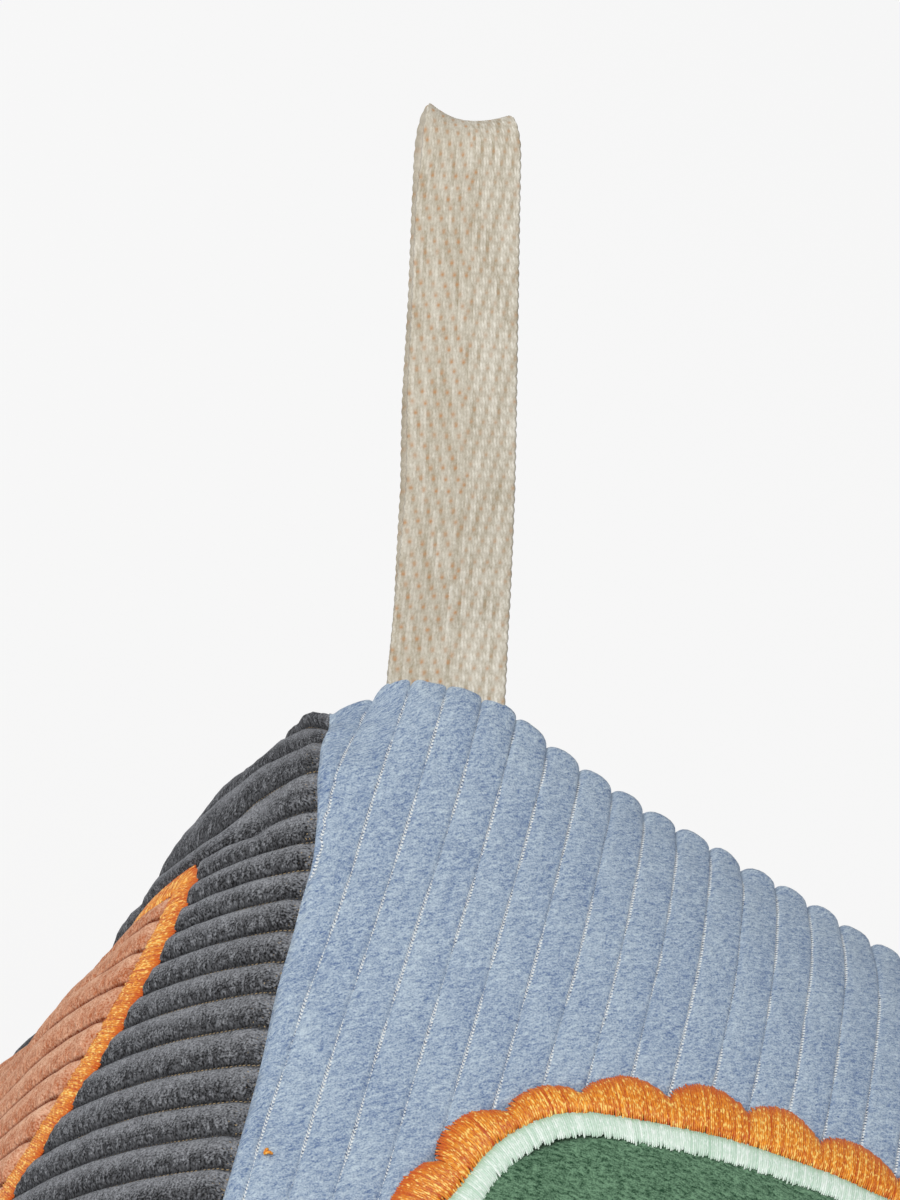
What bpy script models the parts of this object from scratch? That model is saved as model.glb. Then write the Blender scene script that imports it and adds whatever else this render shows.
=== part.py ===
# Soft fabric block: a stuffed corduroy cube with sewn-on patches and a twill tape loop.
#
# Units are metres, +Z is up. The block rests on its base panel, and the origin is the
# middle of the flat that it rests on. The loop is sewn into the seam between the top and
# back panels, beside the corner that these two share with the left panel.
#
# Every panel is one formula surface: a square face with a crown, whose edges bow in
# towards the middle of the block. Patches and borders lie on the same surfaces.

import math

import bmesh
import bpy
import numpy as np
from mathutils import Matrix, Vector

# Overall sizes of the stuffed cube
BLOCK_SIDE = 0.150
EDGE_BOW = 0.0040
TOP_LEFT_BOW = 0.0080
TOP_CROWN = 0.0083
LEFT_CROWN = 0.0098
HIDDEN_CROWN = 0.0120
BASE_CROWN = 0.0050
BASE_FLAT_DEPTH = 0.0005

# Fabric thicknesses and the clearance between touching pieces
PANEL_THICKNESS = 0.0020
PATCH_THICKNESS = 0.0010
SATIN_THICKNESS = 0.0012
FIT_GAP = 0.0003
PATCH_LIFT = 0.0004

# The corner by the loop: the whole corner is drawn out, the seam is lifted at the loop,
# and the tip beside it tucks in
CORNER_LIFT = 0.0050
CORNER_LIFT_SPREAD = 0.060
LOOP_LIFT = 0.0041
LOOP_LIFT_SPREAD = 0.0085
LOOP_LIFT_PLACE = 0.0105
TIP_TUCK = 0.0070
TIP_TUCK_SPREAD = 0.0085
PULL_DIRECTION_SHARES = (-0.29, 0.69, 0.66)

# The hanging loop
TAPE_WIDTH = 0.0125
TAPE_THICKNESS = 0.0011
LOOP_HEIGHT = 0.0600
LOOP_GAP = 0.0075
LOOP_JOIN_HEIGHT = 0.0050
LOOP_OPEN_SHARE = 0.50
LOOP_FRONT_SHARE = 0.25
LOOP_PLACE = 0.0120
LOOP_SEWN_DEPTH = 0.0080
LOOP_LEAN = math.radians(3.5)

# The patch on the top panel: green velvet, a mint outline and a scalloped orange border
TOP_PATCH_HALF_LENGTH = 0.0516
TOP_PATCH_HALF_WIDTH = 0.0323
TOP_PATCH_ROUND_SHARE = 0.727
MINT_WIDTH = 0.0029
SCALLOP_BAND = 0.0033
SCALLOP_RISE = 0.0014
SCALLOP_PITCH = 0.0095

# The half-round patch on the left panel
HALF_PATCH_EDGE_PLACE = 0.0510
HALF_PATCH_HEIGHT = 0.1200
HALF_PATCH_WIDTH = 0.0520
SATIN_WIDTH = 0.0030

# The plain patches on the three hidden sides
ROUND_PATCH_RADIUS = 0.0400
SQUARE_PATCH_HALF = 0.0360
SQUARE_PATCH_ROUND_SHARE = 0.40
PETAL_PATCH_RADIUS = 0.0400
PETAL_POINT_SHARE = 0.22
PETAL_POINT_POWER = 6

# The ladder stitches that close the stuffing gap
CLOSING_LENGTH = 0.060
STITCH_PITCH = 0.0060
STITCH_REACH = 0.0016
THREAD_RADIUS = 0.0004

# How finely the surfaces are cut up
FACE_CELLS = 12
PATCH_RINGS = 4
PATCH_SIDES = 48
SIDES_PER_SCALLOP = 4
LOOP_SIDE_STEPS = 10
LOOP_ARCH_STEPS = 8
LOOP_ROOT_STEPS = 6
OUTLINE_SAMPLES = 720
SMOOTH_ANGLE = math.radians(40)

HALF_SIDE = BLOCK_SIDE / 2
CENTRE_HEIGHT = HALF_SIDE + BASE_CROWN - BASE_FLAT_DEPTH
EDGE_INSET = FIT_GAP / math.sqrt(2)
JOIN_DISTANCE = FIT_GAP / 10

X, Y, Z = np.eye(3)

# Each face has its two axes and its outward direction, its crown, and how square the
# crown's profile is along its two axes: 0 is a parabola, above 0 is fuller at the edges
FACES = {
    "top": {"axes": (X, Y, Z), "crown": TOP_CROWN, "fullness_shares": (-0.40, 1.55)},
    "left": {"axes": (-Y, Z, -X), "crown": LEFT_CROWN, "fullness_shares": (1.44, 1.44)},
    "back": {"axes": (-X, Z, Y), "crown": HIDDEN_CROWN, "fullness_shares": (0.60, 0.60)},
    "right": {"axes": (Y, Z, X), "crown": HIDDEN_CROWN, "fullness_shares": (0.60, 0.60)},
    "front": {"axes": (X, Z, -Y), "crown": HIDDEN_CROWN, "fullness_shares": (0.60, 0.60)},
    "base": {"axes": (X, -Y, -Z), "crown": BASE_CROWN, "fullness_shares": (1.00, 1.00)},
}

# Edges whose bow differs from EDGE_BOW: the seams at the loop's corner are pulled straight
SPECIAL_BOWS = {
    frozenset(("top", "left")): TOP_LEFT_BOW,
    frozenset(("top", "back")): 0.0,
    frozenset(("left", "back")): 0.0,
}

# Each material's colour and roughness
LOOKS = {
    "blue corduroy": ((0.319, 0.407, 0.515, 1.0), 0.92),
    "charcoal corduroy": ((0.114, 0.117, 0.127, 1.0), 0.92),
    "peach corduroy": ((0.625, 0.296, 0.159, 1.0), 0.92),
    "green velvet": ((0.089, 0.178, 0.105, 1.0), 0.85),
    "orange thread": ((0.760, 0.262, 0.032, 1.0), 0.45),
    "mint thread": ((0.690, 0.791, 0.658, 1.0), 0.50),
    "natural tape": ((0.533, 0.479, 0.376, 1.0), 0.90),
    "sewing thread": ((0.533, 0.479, 0.376, 1.0), 0.70),
    "white fibre": ((0.800, 0.790, 0.760, 1.0), 0.95),
}


def material(name):
    """A plain Principled material."""
    colour, roughness = LOOKS[name]
    made = bpy.data.materials.new(name)
    made.use_nodes = True
    shader = made.node_tree.nodes["Principled BSDF"]
    shader.inputs["Base Color"].default_value = colour
    shader.inputs["Roughness"].default_value = roughness
    shader.inputs["Metallic"].default_value = 0.0
    made.diffuse_color = colour
    return made


def neighbour(face, direction):
    """The face whose outward direction is the one given."""
    for other, data in FACES.items():
        if np.allclose(data["axes"][2], direction):
            return other
    raise ValueError(face)


def edge_bow(face, direction):
    """How far the edge towards that direction bows in, half way along it."""
    pair = frozenset((face, neighbour(face, direction)))
    return SPECIAL_BOWS.get(pair, EDGE_BOW)


def crown_profile(share, fullness):
    """1 in the middle of a face and 0 at its edges."""
    return (1 - share**2) * (1 + fullness * share**2)


def pulled(points):
    """Moves points of the plain cube to where the loop and the stitching draw them."""
    direction = np.array(PULL_DIRECTION_SHARES)
    direction = direction / np.linalg.norm(direction)
    tip = np.array((-HALF_SIDE, HALF_SIDE, HALF_SIDE))
    root = tip + X * LOOP_LIFT_PLACE
    moved = points.copy()
    pulls = (
        (tip, -TIP_TUCK, TIP_TUCK_SPREAD),
        (root, LOOP_LIFT, LOOP_LIFT_SPREAD),
        (root, CORNER_LIFT, CORNER_LIFT_SPREAD),
    )
    for centre, distance, spread in pulls:
        square = ((points - centre) ** 2).sum(axis=-1)
        weight = np.exp(-square / (2 * spread**2))
        moved += weight[..., None] * direction * distance
    return moved


def face_point(face, across, up, offset):
    """Points of one face, as shares of its half side and an offset from its surface.

    The result is in the block's own frame, whose origin is the middle of the cube.
    """
    data = FACES[face]
    axis_a, axis_b, out = data["axes"]
    across = np.asarray(across, dtype=float)
    up = np.asarray(up, dtype=float)
    half = HALF_SIDE + offset
    bow_low_a = edge_bow(face, -axis_a)
    bow_high_a = edge_bow(face, axis_a)
    bow_low_b = edge_bow(face, -axis_b)
    bow_high_b = edge_bow(face, axis_b)
    bow_a = bow_low_a + (bow_high_a - bow_low_a) * (1 + across) / 2
    bow_b = bow_low_b + (bow_high_b - bow_low_b) * (1 + up) / 2
    drawn_a = bow_a * (1 - up**2)
    drawn_b = bow_b * (1 - across**2)
    full_a, full_b = data["fullness_shares"]
    crown = data["crown"] * crown_profile(across, full_a) * crown_profile(up, full_b)
    place_a = across * (half - drawn_a)
    place_b = up * (half - drawn_b)
    height = half - drawn_a * across**2 - drawn_b * up**2 + crown
    points = place_a[..., None] * axis_a + place_b[..., None] * axis_b
    points = points + height[..., None] * out
    return pulled(points)


def grid_shares(cells, inset):
    """Shares from -1 to 1, closer together near the edges, kept in by the seam's gap."""
    even = np.linspace(-1, 1, cells + 1)
    eased = np.sin(math.pi / 2 * even)
    return eased * (1 - inset / HALF_SIDE)


def grid_sheet(cells, inset):
    """Shares and faces of a square sheet."""
    shares = grid_shares(cells, inset)
    across, up = np.meshgrid(shares, shares, indexing="ij")
    row = cells + 1
    faces = []
    for i in range(cells):
        for j in range(cells):
            near = i * row + j
            right = near + row
            above = near + 1
            far = right + 1
            towards_corner = (2 * i + 1 - cells) * (2 * j + 1 - cells) >= 0
            if towards_corner:
                faces += [(near, right, far), (near, far, above)]
            else:
                faces += [(near, right, above), (right, far, above)]
    return across.ravel(), up.ravel(), faces


def disc_sheet(outline, middle, rings):
    """Points and faces of a sheet inside a closed outline, made of rings."""
    count = len(outline)
    points = [middle]
    for ring in range(1, rings + 1):
        points.extend(middle + (outline - middle) * ring / rings)
    faces = []
    for k in range(count):
        after = (k + 1) % count
        faces.append((0, 1 + k, 1 + after))
        for ring in range(rings - 1):
            low = 1 + ring * count
            high = low + count
            faces.append((low + k, high + k, high + after, low + after))
    return np.array(points), faces


def ring_sheet(inner, outer):
    """Points and faces of a band between two outlines."""
    count = len(inner)
    faces = []
    for k in range(count):
        after = (k + 1) % count
        faces.append((k, count + k, count + after, after))
    return np.concatenate((inner, outer)), faces


def mesh_object(name, points, faces, look, parent):
    """A mesh object with the origin of its parent."""
    mesh = bpy.data.meshes.new(name)
    mesh.from_pydata([tuple(map(float, point)) for point in points], [], faces)
    mesh.validate()
    mesh.materials.append(look)
    made = bpy.data.objects.new(name, mesh)
    bpy.context.scene.collection.objects.link(made)
    made.parent = parent
    mesh.shade_smooth()
    mesh.set_sharp_from_angle(angle=SMOOTH_ANGLE)
    return made


def slab(name, upper, lower, faces, look, parent):
    """A closed solid between two copies of one sheet."""
    count = len(upper)
    directed = set()
    for face in faces:
        for k, start in enumerate(face):
            directed.add((start, face[(k + 1) % len(face)]))
    solid = list(faces)
    solid += [tuple(count + k for k in reversed(face)) for face in faces]
    for start, end in sorted(directed):
        if (end, start) not in directed:
            solid.append((end, start, count + start, count + end))
    return mesh_object(name, np.concatenate((upper, lower)), solid, look, parent)


def panel(name, face, look, parent):
    """One square of fabric, mitred at the seams. The base panel is cut flat below."""
    across, up, faces = grid_sheet(FACE_CELLS, EDGE_INSET)
    upper = face_point(face, across, up, 0.0)
    lower = face_point(face, across, up, -PANEL_THICKNESS)
    if face == "base":
        upper[:, 2] = np.maximum(upper[:, 2], -CENTRE_HEIGHT)
    return slab(name, upper, lower, faces, look, parent)


def filling(name, look, parent):
    """The stuffing: one closed body that backs all six panels."""
    offset = -PANEL_THICKNESS - FIT_GAP
    across, up, faces = grid_sheet(FACE_CELLS, 0.0)
    points = []
    solid = []
    for face in FACES:
        start = len(points) * len(across)
        points.append(face_point(face, across, up, offset))
        solid += [tuple(start + k for k in corner) for corner in faces]
    made = mesh_object(name, np.concatenate(points), solid, look, parent)
    shape = bmesh.new()
    shape.from_mesh(made.data)
    bmesh.ops.remove_doubles(shape, verts=shape.verts, dist=JOIN_DISTANCE)
    bmesh.ops.recalc_face_normals(shape, faces=shape.faces)
    shape.to_mesh(made.data)
    shape.free()
    return made


def on_face(face, places, offset):
    """Points at places measured from the middle of a face, in metres."""
    shares = places / HALF_SIDE
    return face_point(face, shares[:, 0], shares[:, 1], offset)


def outline_normals(outline):
    """Unit normals that point out of a closed outline that runs anticlockwise."""
    along = np.roll(outline, -1, axis=0) - np.roll(outline, 1, axis=0)
    normals = np.stack((along[:, 1], -along[:, 0]), axis=1)
    return normals / np.linalg.norm(normals, axis=1, keepdims=True)


def even_outline(outline, count):
    """The same closed outline with its points at equal distances along it."""
    closed = np.concatenate((outline, outline[:1]))
    steps = np.linalg.norm(np.diff(closed, axis=0), axis=1)
    run = np.concatenate(((0.0,), np.cumsum(steps)))
    wanted = np.linspace(0.0, run[-1], count, endpoint=False)
    across = np.interp(wanted, run, closed[:, 0])
    up = np.interp(wanted, run, closed[:, 1])
    return np.stack((across, up), axis=1)


def perimeter(outline):
    """Length of a closed outline."""
    return np.linalg.norm(outline - np.roll(outline, 1, axis=0), axis=1).sum()


def rounded_outline(half_length, half_width, round_share):
    """An outline that is an ellipse at a round share of 1 and a rectangle near 0."""
    turn = np.linspace(0.0, math.tau, OUTLINE_SAMPLES, endpoint=False)
    cosine = np.cos(turn)
    sine = np.sin(turn)
    across = half_length * np.sign(cosine) * np.abs(cosine) ** round_share
    up = half_width * np.sign(sine) * np.abs(sine) ** round_share
    return np.stack((across, up), axis=1)


def half_round_outline(place, height, width):
    """A half ellipse whose straight side stands at the given place across the face."""
    turn = np.linspace(-math.pi / 2, math.pi / 2, OUTLINE_SAMPLES)
    across = place + width * np.cos(turn)
    up = height / 2 * np.sin(turn)
    straight = np.linspace(height / 2, -height / 2, OUTLINE_SAMPLES)[1:-1]
    side = np.stack((np.full_like(straight, place), straight), axis=1)
    return np.concatenate((np.stack((across, up), axis=1), side))


def petal_outline(radius, point_share):
    """A drop shape, round below and pointed above."""
    turn = np.linspace(0.0, math.tau, OUTLINE_SAMPLES, endpoint=False)
    upper = np.maximum(np.sin(turn), 0.0)
    across = radius * np.cos(turn) * (1 - point_share * upper)
    up = radius * np.sin(turn) * (1 + point_share * upper**PETAL_POINT_POWER)
    return np.stack((across, up), axis=1)


def patch(name, face, outline, look, parent):
    """A sewn-on shape that lies on a panel."""
    middle = outline.mean(axis=0)
    places, faces = disc_sheet(outline, middle, PATCH_RINGS)
    upper = on_face(face, places, PATCH_LIFT + PATCH_THICKNESS)
    lower = on_face(face, places, PATCH_LIFT)
    return slab(name, upper, lower, faces, look, parent)


def border(name, face, inner, outer, look, parent):
    """A satin-stitched band round a patch."""
    places, faces = ring_sheet(inner, outer)
    upper = on_face(face, places, PATCH_LIFT + SATIN_THICKNESS)
    lower = on_face(face, places, PATCH_LIFT)
    return slab(name, upper, lower, faces, look, parent)


def bordered_patch(names, face, outline, looks, parent):
    """A patch with a plain satin border, a clearance outside it."""
    edge = even_outline(outline, PATCH_SIDES)
    patch(names[0], face, edge, looks[0], parent)
    normals = outline_normals(edge)
    inner = edge + normals * FIT_GAP
    outer = inner + normals * SATIN_WIDTH
    border(names[1], face, inner, outer, looks[1], parent)


def top_patch(looks, parent):
    """The velvet patch, its mint outline and its scalloped border."""
    outline = rounded_outline(
        TOP_PATCH_HALF_LENGTH, TOP_PATCH_HALF_WIDTH, TOP_PATCH_ROUND_SHARE
    )
    scallops = round(perimeter(outline) / SCALLOP_PITCH)
    count = scallops * SIDES_PER_SCALLOP
    edge = even_outline(outline, count)
    patch("velvet_patch", "top", edge[::2], looks["velvet"], parent)
    normals = outline_normals(edge)
    mint_inner = edge + normals * FIT_GAP
    mint_outer = mint_inner + normals * MINT_WIDTH
    border("mint_outline", "top", mint_inner, mint_outer, looks["mint"], parent)
    phase = np.arange(count) / SIDES_PER_SCALLOP
    rise = SCALLOP_RISE * np.abs(np.sin(math.pi * phase))
    band_inner = mint_outer + normals * FIT_GAP
    band_outer = band_inner + normals * (SCALLOP_BAND + rise)[:, None]
    border("scalloped_border", "top", band_inner, band_outer, looks["orange"], parent)


def loop_frame():
    """The place where the tape leaves the seam, and the loop's own axes.

    The first axis runs along the tape's width, the second away from the top panel and
    the third along the tape.
    """
    share = LOOP_PLACE / HALF_SIDE - 1
    step = TAPE_WIDTH / HALF_SIDE / 2
    root = face_point("top", share, 1.0, 0.0)
    seam = face_point("top", share + step, 1.0, 0.0) - face_point("top", share - step, 1.0, 0.0)
    outward = root / np.linalg.norm(root)
    width = seam - outward * (seam @ outward)
    width /= np.linalg.norm(width)
    along = outward * math.cos(LOOP_LEAN) + width * math.sin(LOOP_LEAN)
    width = width * math.cos(LOOP_LEAN) - outward * math.sin(LOOP_LEAN)
    away = np.cross(along, width)
    return root, width, away, along


def loop_sides(height):
    """Inner and outer places of the two plies at heights above the hinge."""
    arch = LOOP_HEIGHT - LOOP_GAP / 2 - TAPE_THICKNESS
    opened = LOOP_JOIN_HEIGHT + (arch - LOOP_JOIN_HEIGHT) * LOOP_OPEN_SHARE
    rise = np.clip((height - LOOP_JOIN_HEIGHT) / (opened - LOOP_JOIN_HEIGHT), 0.0, 1.0)
    gap = LOOP_GAP * np.sin(math.pi / 2 * rise)
    front = -gap * LOOP_FRONT_SHARE
    rear = gap * (1 - LOOP_FRONT_SHARE)
    return front, rear


def tape_solid(name, profile, faces, width, look, hinge):
    """A profile, as places away from the hinge and heights, carried along the width."""
    upper = np.array([(width / 2, *point) for point in profile])
    lower = upper * (-1, 1, 1)
    return slab(name, upper, lower, faces, look, hinge)


def hanging_loop(name, look, hinge):
    """The free loop: a band of tape that closes on itself, round where it is hinged."""
    arch_height = LOOP_HEIGHT - LOOP_GAP / 2 - TAPE_THICKNESS
    heights = np.linspace(LOOP_JOIN_HEIGHT, arch_height, LOOP_SIDE_STEPS + 1)
    front, rear = loop_sides(heights)
    inner = [(front[k], heights[k]) for k in range(LOOP_SIDE_STEPS + 1)]
    outer = [(front[k] - TAPE_THICKNESS, heights[k]) for k in range(LOOP_SIDE_STEPS + 1)]
    middle = (front[-1] + rear[-1]) / 2
    for k in range(1, LOOP_ARCH_STEPS):
        turn = math.pi * k / LOOP_ARCH_STEPS
        side = -math.cos(turn)
        rise = math.sin(turn)
        small = LOOP_GAP / 2
        large = small + TAPE_THICKNESS
        inner.append((middle + small * side, arch_height + small * rise))
        outer.append((middle + large * side, arch_height + large * rise))
    for k in reversed(range(LOOP_SIDE_STEPS + 1)):
        inner.append((rear[k], heights[k]))
        outer.append((rear[k] + TAPE_THICKNESS, heights[k]))
    inner.pop()
    root = []
    for k in range(LOOP_ROOT_STEPS + 1):
        turn = math.pi * k / LOOP_ROOT_STEPS
        root.append((TAPE_THICKNESS * math.cos(turn), -TAPE_THICKNESS * math.sin(turn)))
    flat = outer + root + inner
    ring = len(outer) + len(root)
    last = len(outer) - 1
    faces = []
    for k in range(last):
        after = 0 if k + 1 == last else k + 1
        faces.append((ring + k, ring + after, k + 1, k))
    faces.append((ring, 0) + tuple(reversed(range(last, ring))))
    return tape_solid(name, flat, faces, TAPE_WIDTH, look, hinge)


def sewn_ends(name, look, hinge, cut_pieces):
    """The two tape ends held in the seam, and the pocket that they fill.

    Their shoulders slope, so that the loop can fold down to either panel.
    """
    half = TAPE_THICKNESS
    crest = -TAPE_THICKNESS - FIT_GAP
    shoulder = crest - half
    foot = crest - LOOP_SEWN_DEPTH
    profile = [(0.0, crest), (-half, shoulder), (-half, foot), (half, foot), (half, shoulder)]
    tape_solid(name, profile, [tuple(range(len(profile)))], TAPE_WIDTH, look, hinge)
    wide = half + FIT_GAP
    deep = foot - FIT_GAP
    profile = [(-wide, 0.0), (-wide, deep), (wide, deep), (wide, 0.0)]
    faces = [tuple(range(len(profile)))]
    pocket = tape_solid("loop_pocket", profile, faces, TAPE_WIDTH + 2 * FIT_GAP, look, hinge)
    pocket.hide_render = True
    pocket.display_type = "WIRE"
    for piece in cut_pieces:
        cut = piece.modifiers.new("loop_pocket", "BOOLEAN")
        cut.operation = "DIFFERENCE"
        cut.solver = "EXACT"
        cut.object = pocket


def closing_stitches(name, look, parent):
    """One thread that ladders across the seam between the back and base panels."""
    stitches = round(CLOSING_LENGTH / STITCH_PITCH)
    offset = FIT_GAP + THREAD_RADIUS * 2
    edge = 1 - STITCH_REACH / HALF_SIDE
    curve = bpy.data.curves.new(name, "CURVE")
    curve.dimensions = "3D"
    curve.bevel_depth = THREAD_RADIUS
    curve.bevel_resolution = 1
    curve.use_fill_caps = True
    points = []
    for k in range(stitches + 1):
        share = (k * STITCH_PITCH - CLOSING_LENGTH / 2) / HALF_SIDE
        high = face_point("back", -share, -edge, offset)
        low = face_point("base", share, -edge, offset)
        crest = face_point("back", -share, -1.0, offset)
        order = (high, crest, low) if k % 2 == 0 else (low, crest, high)
        points.extend(order)
    spline = curve.splines.new("POLY")
    spline.points.add(len(points) - 1)
    for point, place in zip(spline.points, points):
        point.co = (*place, 1.0)
    curve.materials.append(look)
    made = bpy.data.objects.new(name, curve)
    bpy.context.scene.collection.objects.link(made)
    made.parent = parent
    return made


def main():
    for old in list(bpy.data.objects):
        bpy.data.objects.remove(old, do_unlink=True)

    centre = bpy.data.objects.new("block_centre", None)
    centre.location = (0.0, 0.0, CENTRE_HEIGHT)
    bpy.context.scene.collection.objects.link(centre)

    blue = material("blue corduroy")
    charcoal = material("charcoal corduroy")
    peach = material("peach corduroy")
    velvet = material("green velvet")
    mint = material("mint thread")
    orange = material("orange thread")
    tape = material("natural tape")

    filled = filling("filling", material("white fibre"), centre)
    top = panel("top_panel", "top", blue, centre)
    panel("left_panel", "left", charcoal, centre)
    back = panel("back_panel", "back", peach, centre)
    panel("right_panel", "right", charcoal, centre)
    panel("front_panel", "front", peach, centre)
    panel("base_panel", "base", blue, centre)

    top_patch({"velvet": velvet, "mint": mint, "orange": orange}, centre)
    half_round = half_round_outline(-HALF_PATCH_EDGE_PLACE, HALF_PATCH_HEIGHT, HALF_PATCH_WIDTH)
    names = ("half_round_patch", "half_round_border")
    bordered_patch(names, "left", half_round, (peach, orange), centre)
    disc = rounded_outline(ROUND_PATCH_RADIUS, ROUND_PATCH_RADIUS, 1.0)
    names = ("round_patch", "round_border")
    bordered_patch(names, "front", disc, (blue, mint), centre)
    square = rounded_outline(SQUARE_PATCH_HALF, SQUARE_PATCH_HALF, SQUARE_PATCH_ROUND_SHARE)
    names = ("square_patch", "square_border")
    bordered_patch(names, "right", square, (velvet, mint), centre)
    petal = petal_outline(PETAL_PATCH_RADIUS, PETAL_POINT_SHARE)
    names = ("petal_patch", "petal_border")
    bordered_patch(names, "back", petal, (charcoal, orange), centre)

    root, width, away, along = loop_frame()
    hinge = bpy.data.objects.new("loop_hinge", None)
    frame = Matrix((width, away, along)).transposed().to_4x4()
    frame.translation = Vector(root + along * (TAPE_THICKNESS + FIT_GAP))
    bpy.context.scene.collection.objects.link(hinge)
    hinge.parent = centre
    hinge.matrix_local = frame
    hanging_loop("hanging_loop", tape, hinge)
    sewn_ends("loop_ends", tape, hinge, (filled, top, back))
    closing_stitches("closing_stitches", material("sewing thread"), centre)

    bpy.context.view_layer.update()
    print("loop hinge at", tuple(round(value, 6) for value in hinge.matrix_world.translation))
    print("loop hinge axis", tuple(round(float(value), 6) for value in width))
    print("loop direction", tuple(round(float(value), 6) for value in along))


main()
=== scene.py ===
# %% [markdown]
# # A soft fabric block
# The object is a stuffed cube, about 150 mm along each seam, with a loop of tape sewn in
# beside one corner. Its six panels are corduroy: cloth whose pile stands in ribs, called
# wales. Two of the panels carry patches that show in the photograph, with satin stitch
# round them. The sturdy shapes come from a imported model, which is loaded first and never
# moved. Everything that is seen is then made here and rides on that model.

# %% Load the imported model
import math

import bmesh
import bpy
import numpy as np
from mathutils import Matrix, Vector


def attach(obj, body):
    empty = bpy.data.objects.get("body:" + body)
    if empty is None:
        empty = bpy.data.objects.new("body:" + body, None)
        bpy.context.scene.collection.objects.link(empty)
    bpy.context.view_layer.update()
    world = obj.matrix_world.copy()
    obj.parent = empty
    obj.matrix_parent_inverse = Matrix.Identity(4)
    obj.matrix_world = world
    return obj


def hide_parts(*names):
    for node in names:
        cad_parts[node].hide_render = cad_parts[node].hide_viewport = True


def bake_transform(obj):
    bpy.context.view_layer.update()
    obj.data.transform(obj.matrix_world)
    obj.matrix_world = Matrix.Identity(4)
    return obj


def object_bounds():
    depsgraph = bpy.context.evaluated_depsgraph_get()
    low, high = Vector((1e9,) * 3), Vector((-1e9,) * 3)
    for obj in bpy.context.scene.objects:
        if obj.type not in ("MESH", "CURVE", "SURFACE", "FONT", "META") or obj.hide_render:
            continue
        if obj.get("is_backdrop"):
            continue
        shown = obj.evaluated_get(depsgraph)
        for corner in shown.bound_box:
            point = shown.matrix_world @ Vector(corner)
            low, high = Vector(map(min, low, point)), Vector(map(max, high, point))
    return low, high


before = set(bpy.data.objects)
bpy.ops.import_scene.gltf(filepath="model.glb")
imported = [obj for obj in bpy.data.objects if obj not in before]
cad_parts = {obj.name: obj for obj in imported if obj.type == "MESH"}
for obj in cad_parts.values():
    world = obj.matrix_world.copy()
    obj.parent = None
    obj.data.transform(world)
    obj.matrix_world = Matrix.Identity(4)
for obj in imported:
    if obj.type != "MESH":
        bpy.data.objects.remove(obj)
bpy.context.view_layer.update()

# %% [markdown]
# ## The camera
# The photograph shows one corner from close by, with a long lens. The camera's place and
# its three directions were worked out from the seams, the ribs and the patches, so the
# picture can be laid over the render. Another way is to move a camera by hand until it
# fits, but a rolled view like this one, of a block that really hangs by its loop, is
# quicker to find with numbers.

# %% Make the camera
MM = 0.001
SENSOR = 36.0
LENS = 146.68
CAMERA_PLACE = (-0.15911, -0.29802, 0.51066)
camera_right = Vector((0.865626, 0.207157, 0.455827))
camera_up = Vector((-0.469994, 0.650058, 0.597102))
camera_back = Vector((-0.172620, -0.731102, 0.660070))
turned = Matrix((camera_right, camera_up, camera_back)).transposed()

lens_data = bpy.data.cameras.new("camera")
lens_data.sensor_fit = "AUTO"
lens_data.sensor_width = SENSOR
lens_data.lens = LENS
lens_data.clip_start = 0.01
lens_data.clip_end = 20.0
camera = bpy.data.objects.new("camera", lens_data)
camera.matrix_world = Matrix.Translation(CAMERA_PLACE) @ turned.to_4x4()
bpy.context.scene.collection.objects.link(camera)
bpy.context.scene.camera = camera
print("camera at", tuple(round(value, 3) for value in camera.matrix_world.translation))

# %% [markdown]
# ## The studio
# A pale floor, a world that lights from everywhere, and large soft lamps. The lamps are
# kept at a plain level, at which a colour comes out about as it is written. The floor is
# nearly white to the camera because it glows a little for camera rays only, so no extra
# light falls on the cloth, and part of it stays plain so that the shadow is kept.

# %% A helper that adds shader nodes
def add(tree, kind, inputs=None, **settings):
    """Adds one shader node, sets its options, and fills or links its inputs."""
    made = tree.nodes.new("ShaderNode" + kind)
    for key, value in settings.items():
        setattr(made, key, value)
    for key, value in (inputs or {}).items():
        value = getattr(value, "socket", value)
        if isinstance(value, bpy.types.NodeSocket):
            tree.links.new(value, made.inputs[key])
        else:
            made.inputs[key].default_value = value
    return made


def grey(value):
    """An opaque grey."""
    return (value, value, value, 1.0)


# %% The floor and the world
WORLD_PAPER = 0.939
WORLD_LIGHT = 0.40
FLOOR_PAPER = 1.0
FLOOR_PLAIN = 0.82
FLOOR_GLOW = 0.80
FLOOR_HALF = 3.0
FLOOR_DROP = 0.0002

floor_mesh = bpy.data.meshes.new("floor")
floor_corners = [(x * FLOOR_HALF, y * FLOOR_HALF, 0.0) for x, y in ((-1, -1), (1, -1), (1, 1), (-1, 1))]
floor_mesh.from_pydata(floor_corners, [], [(0, 1, 2, 3)])
floor = bpy.data.objects.new("floor", floor_mesh)
bpy.context.scene.collection.objects.link(floor)
floor.location.z = -FLOOR_DROP
floor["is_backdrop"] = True

floor_look = bpy.data.materials.new("pale floor")
floor_look.use_nodes = True
tree = floor_look.node_tree
tree.nodes.clear()
rays = add(tree, "LightPath").outputs
seen = add(tree, "Math", {0: rays["Is Camera Ray"], 1: rays["Is Glossy Ray"]}, operation="MAXIMUM")
share = add(tree, "Math", {0: seen.outputs[0], 1: FLOOR_GLOW}, operation="MULTIPLY")
plain = add(tree, "BsdfDiffuse", {"Color": grey(FLOOR_PLAIN)})
glow = add(tree, "Emission", {"Color": grey(FLOOR_PAPER), "Strength": 1.0})
mixed = add(tree, "MixShader", {0: share.outputs[0], 1: plain.outputs[0], 2: glow.outputs[0]})
add(tree, "OutputMaterial", {"Surface": mixed.outputs[0]})
floor_mesh.materials.append(floor_look)

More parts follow.
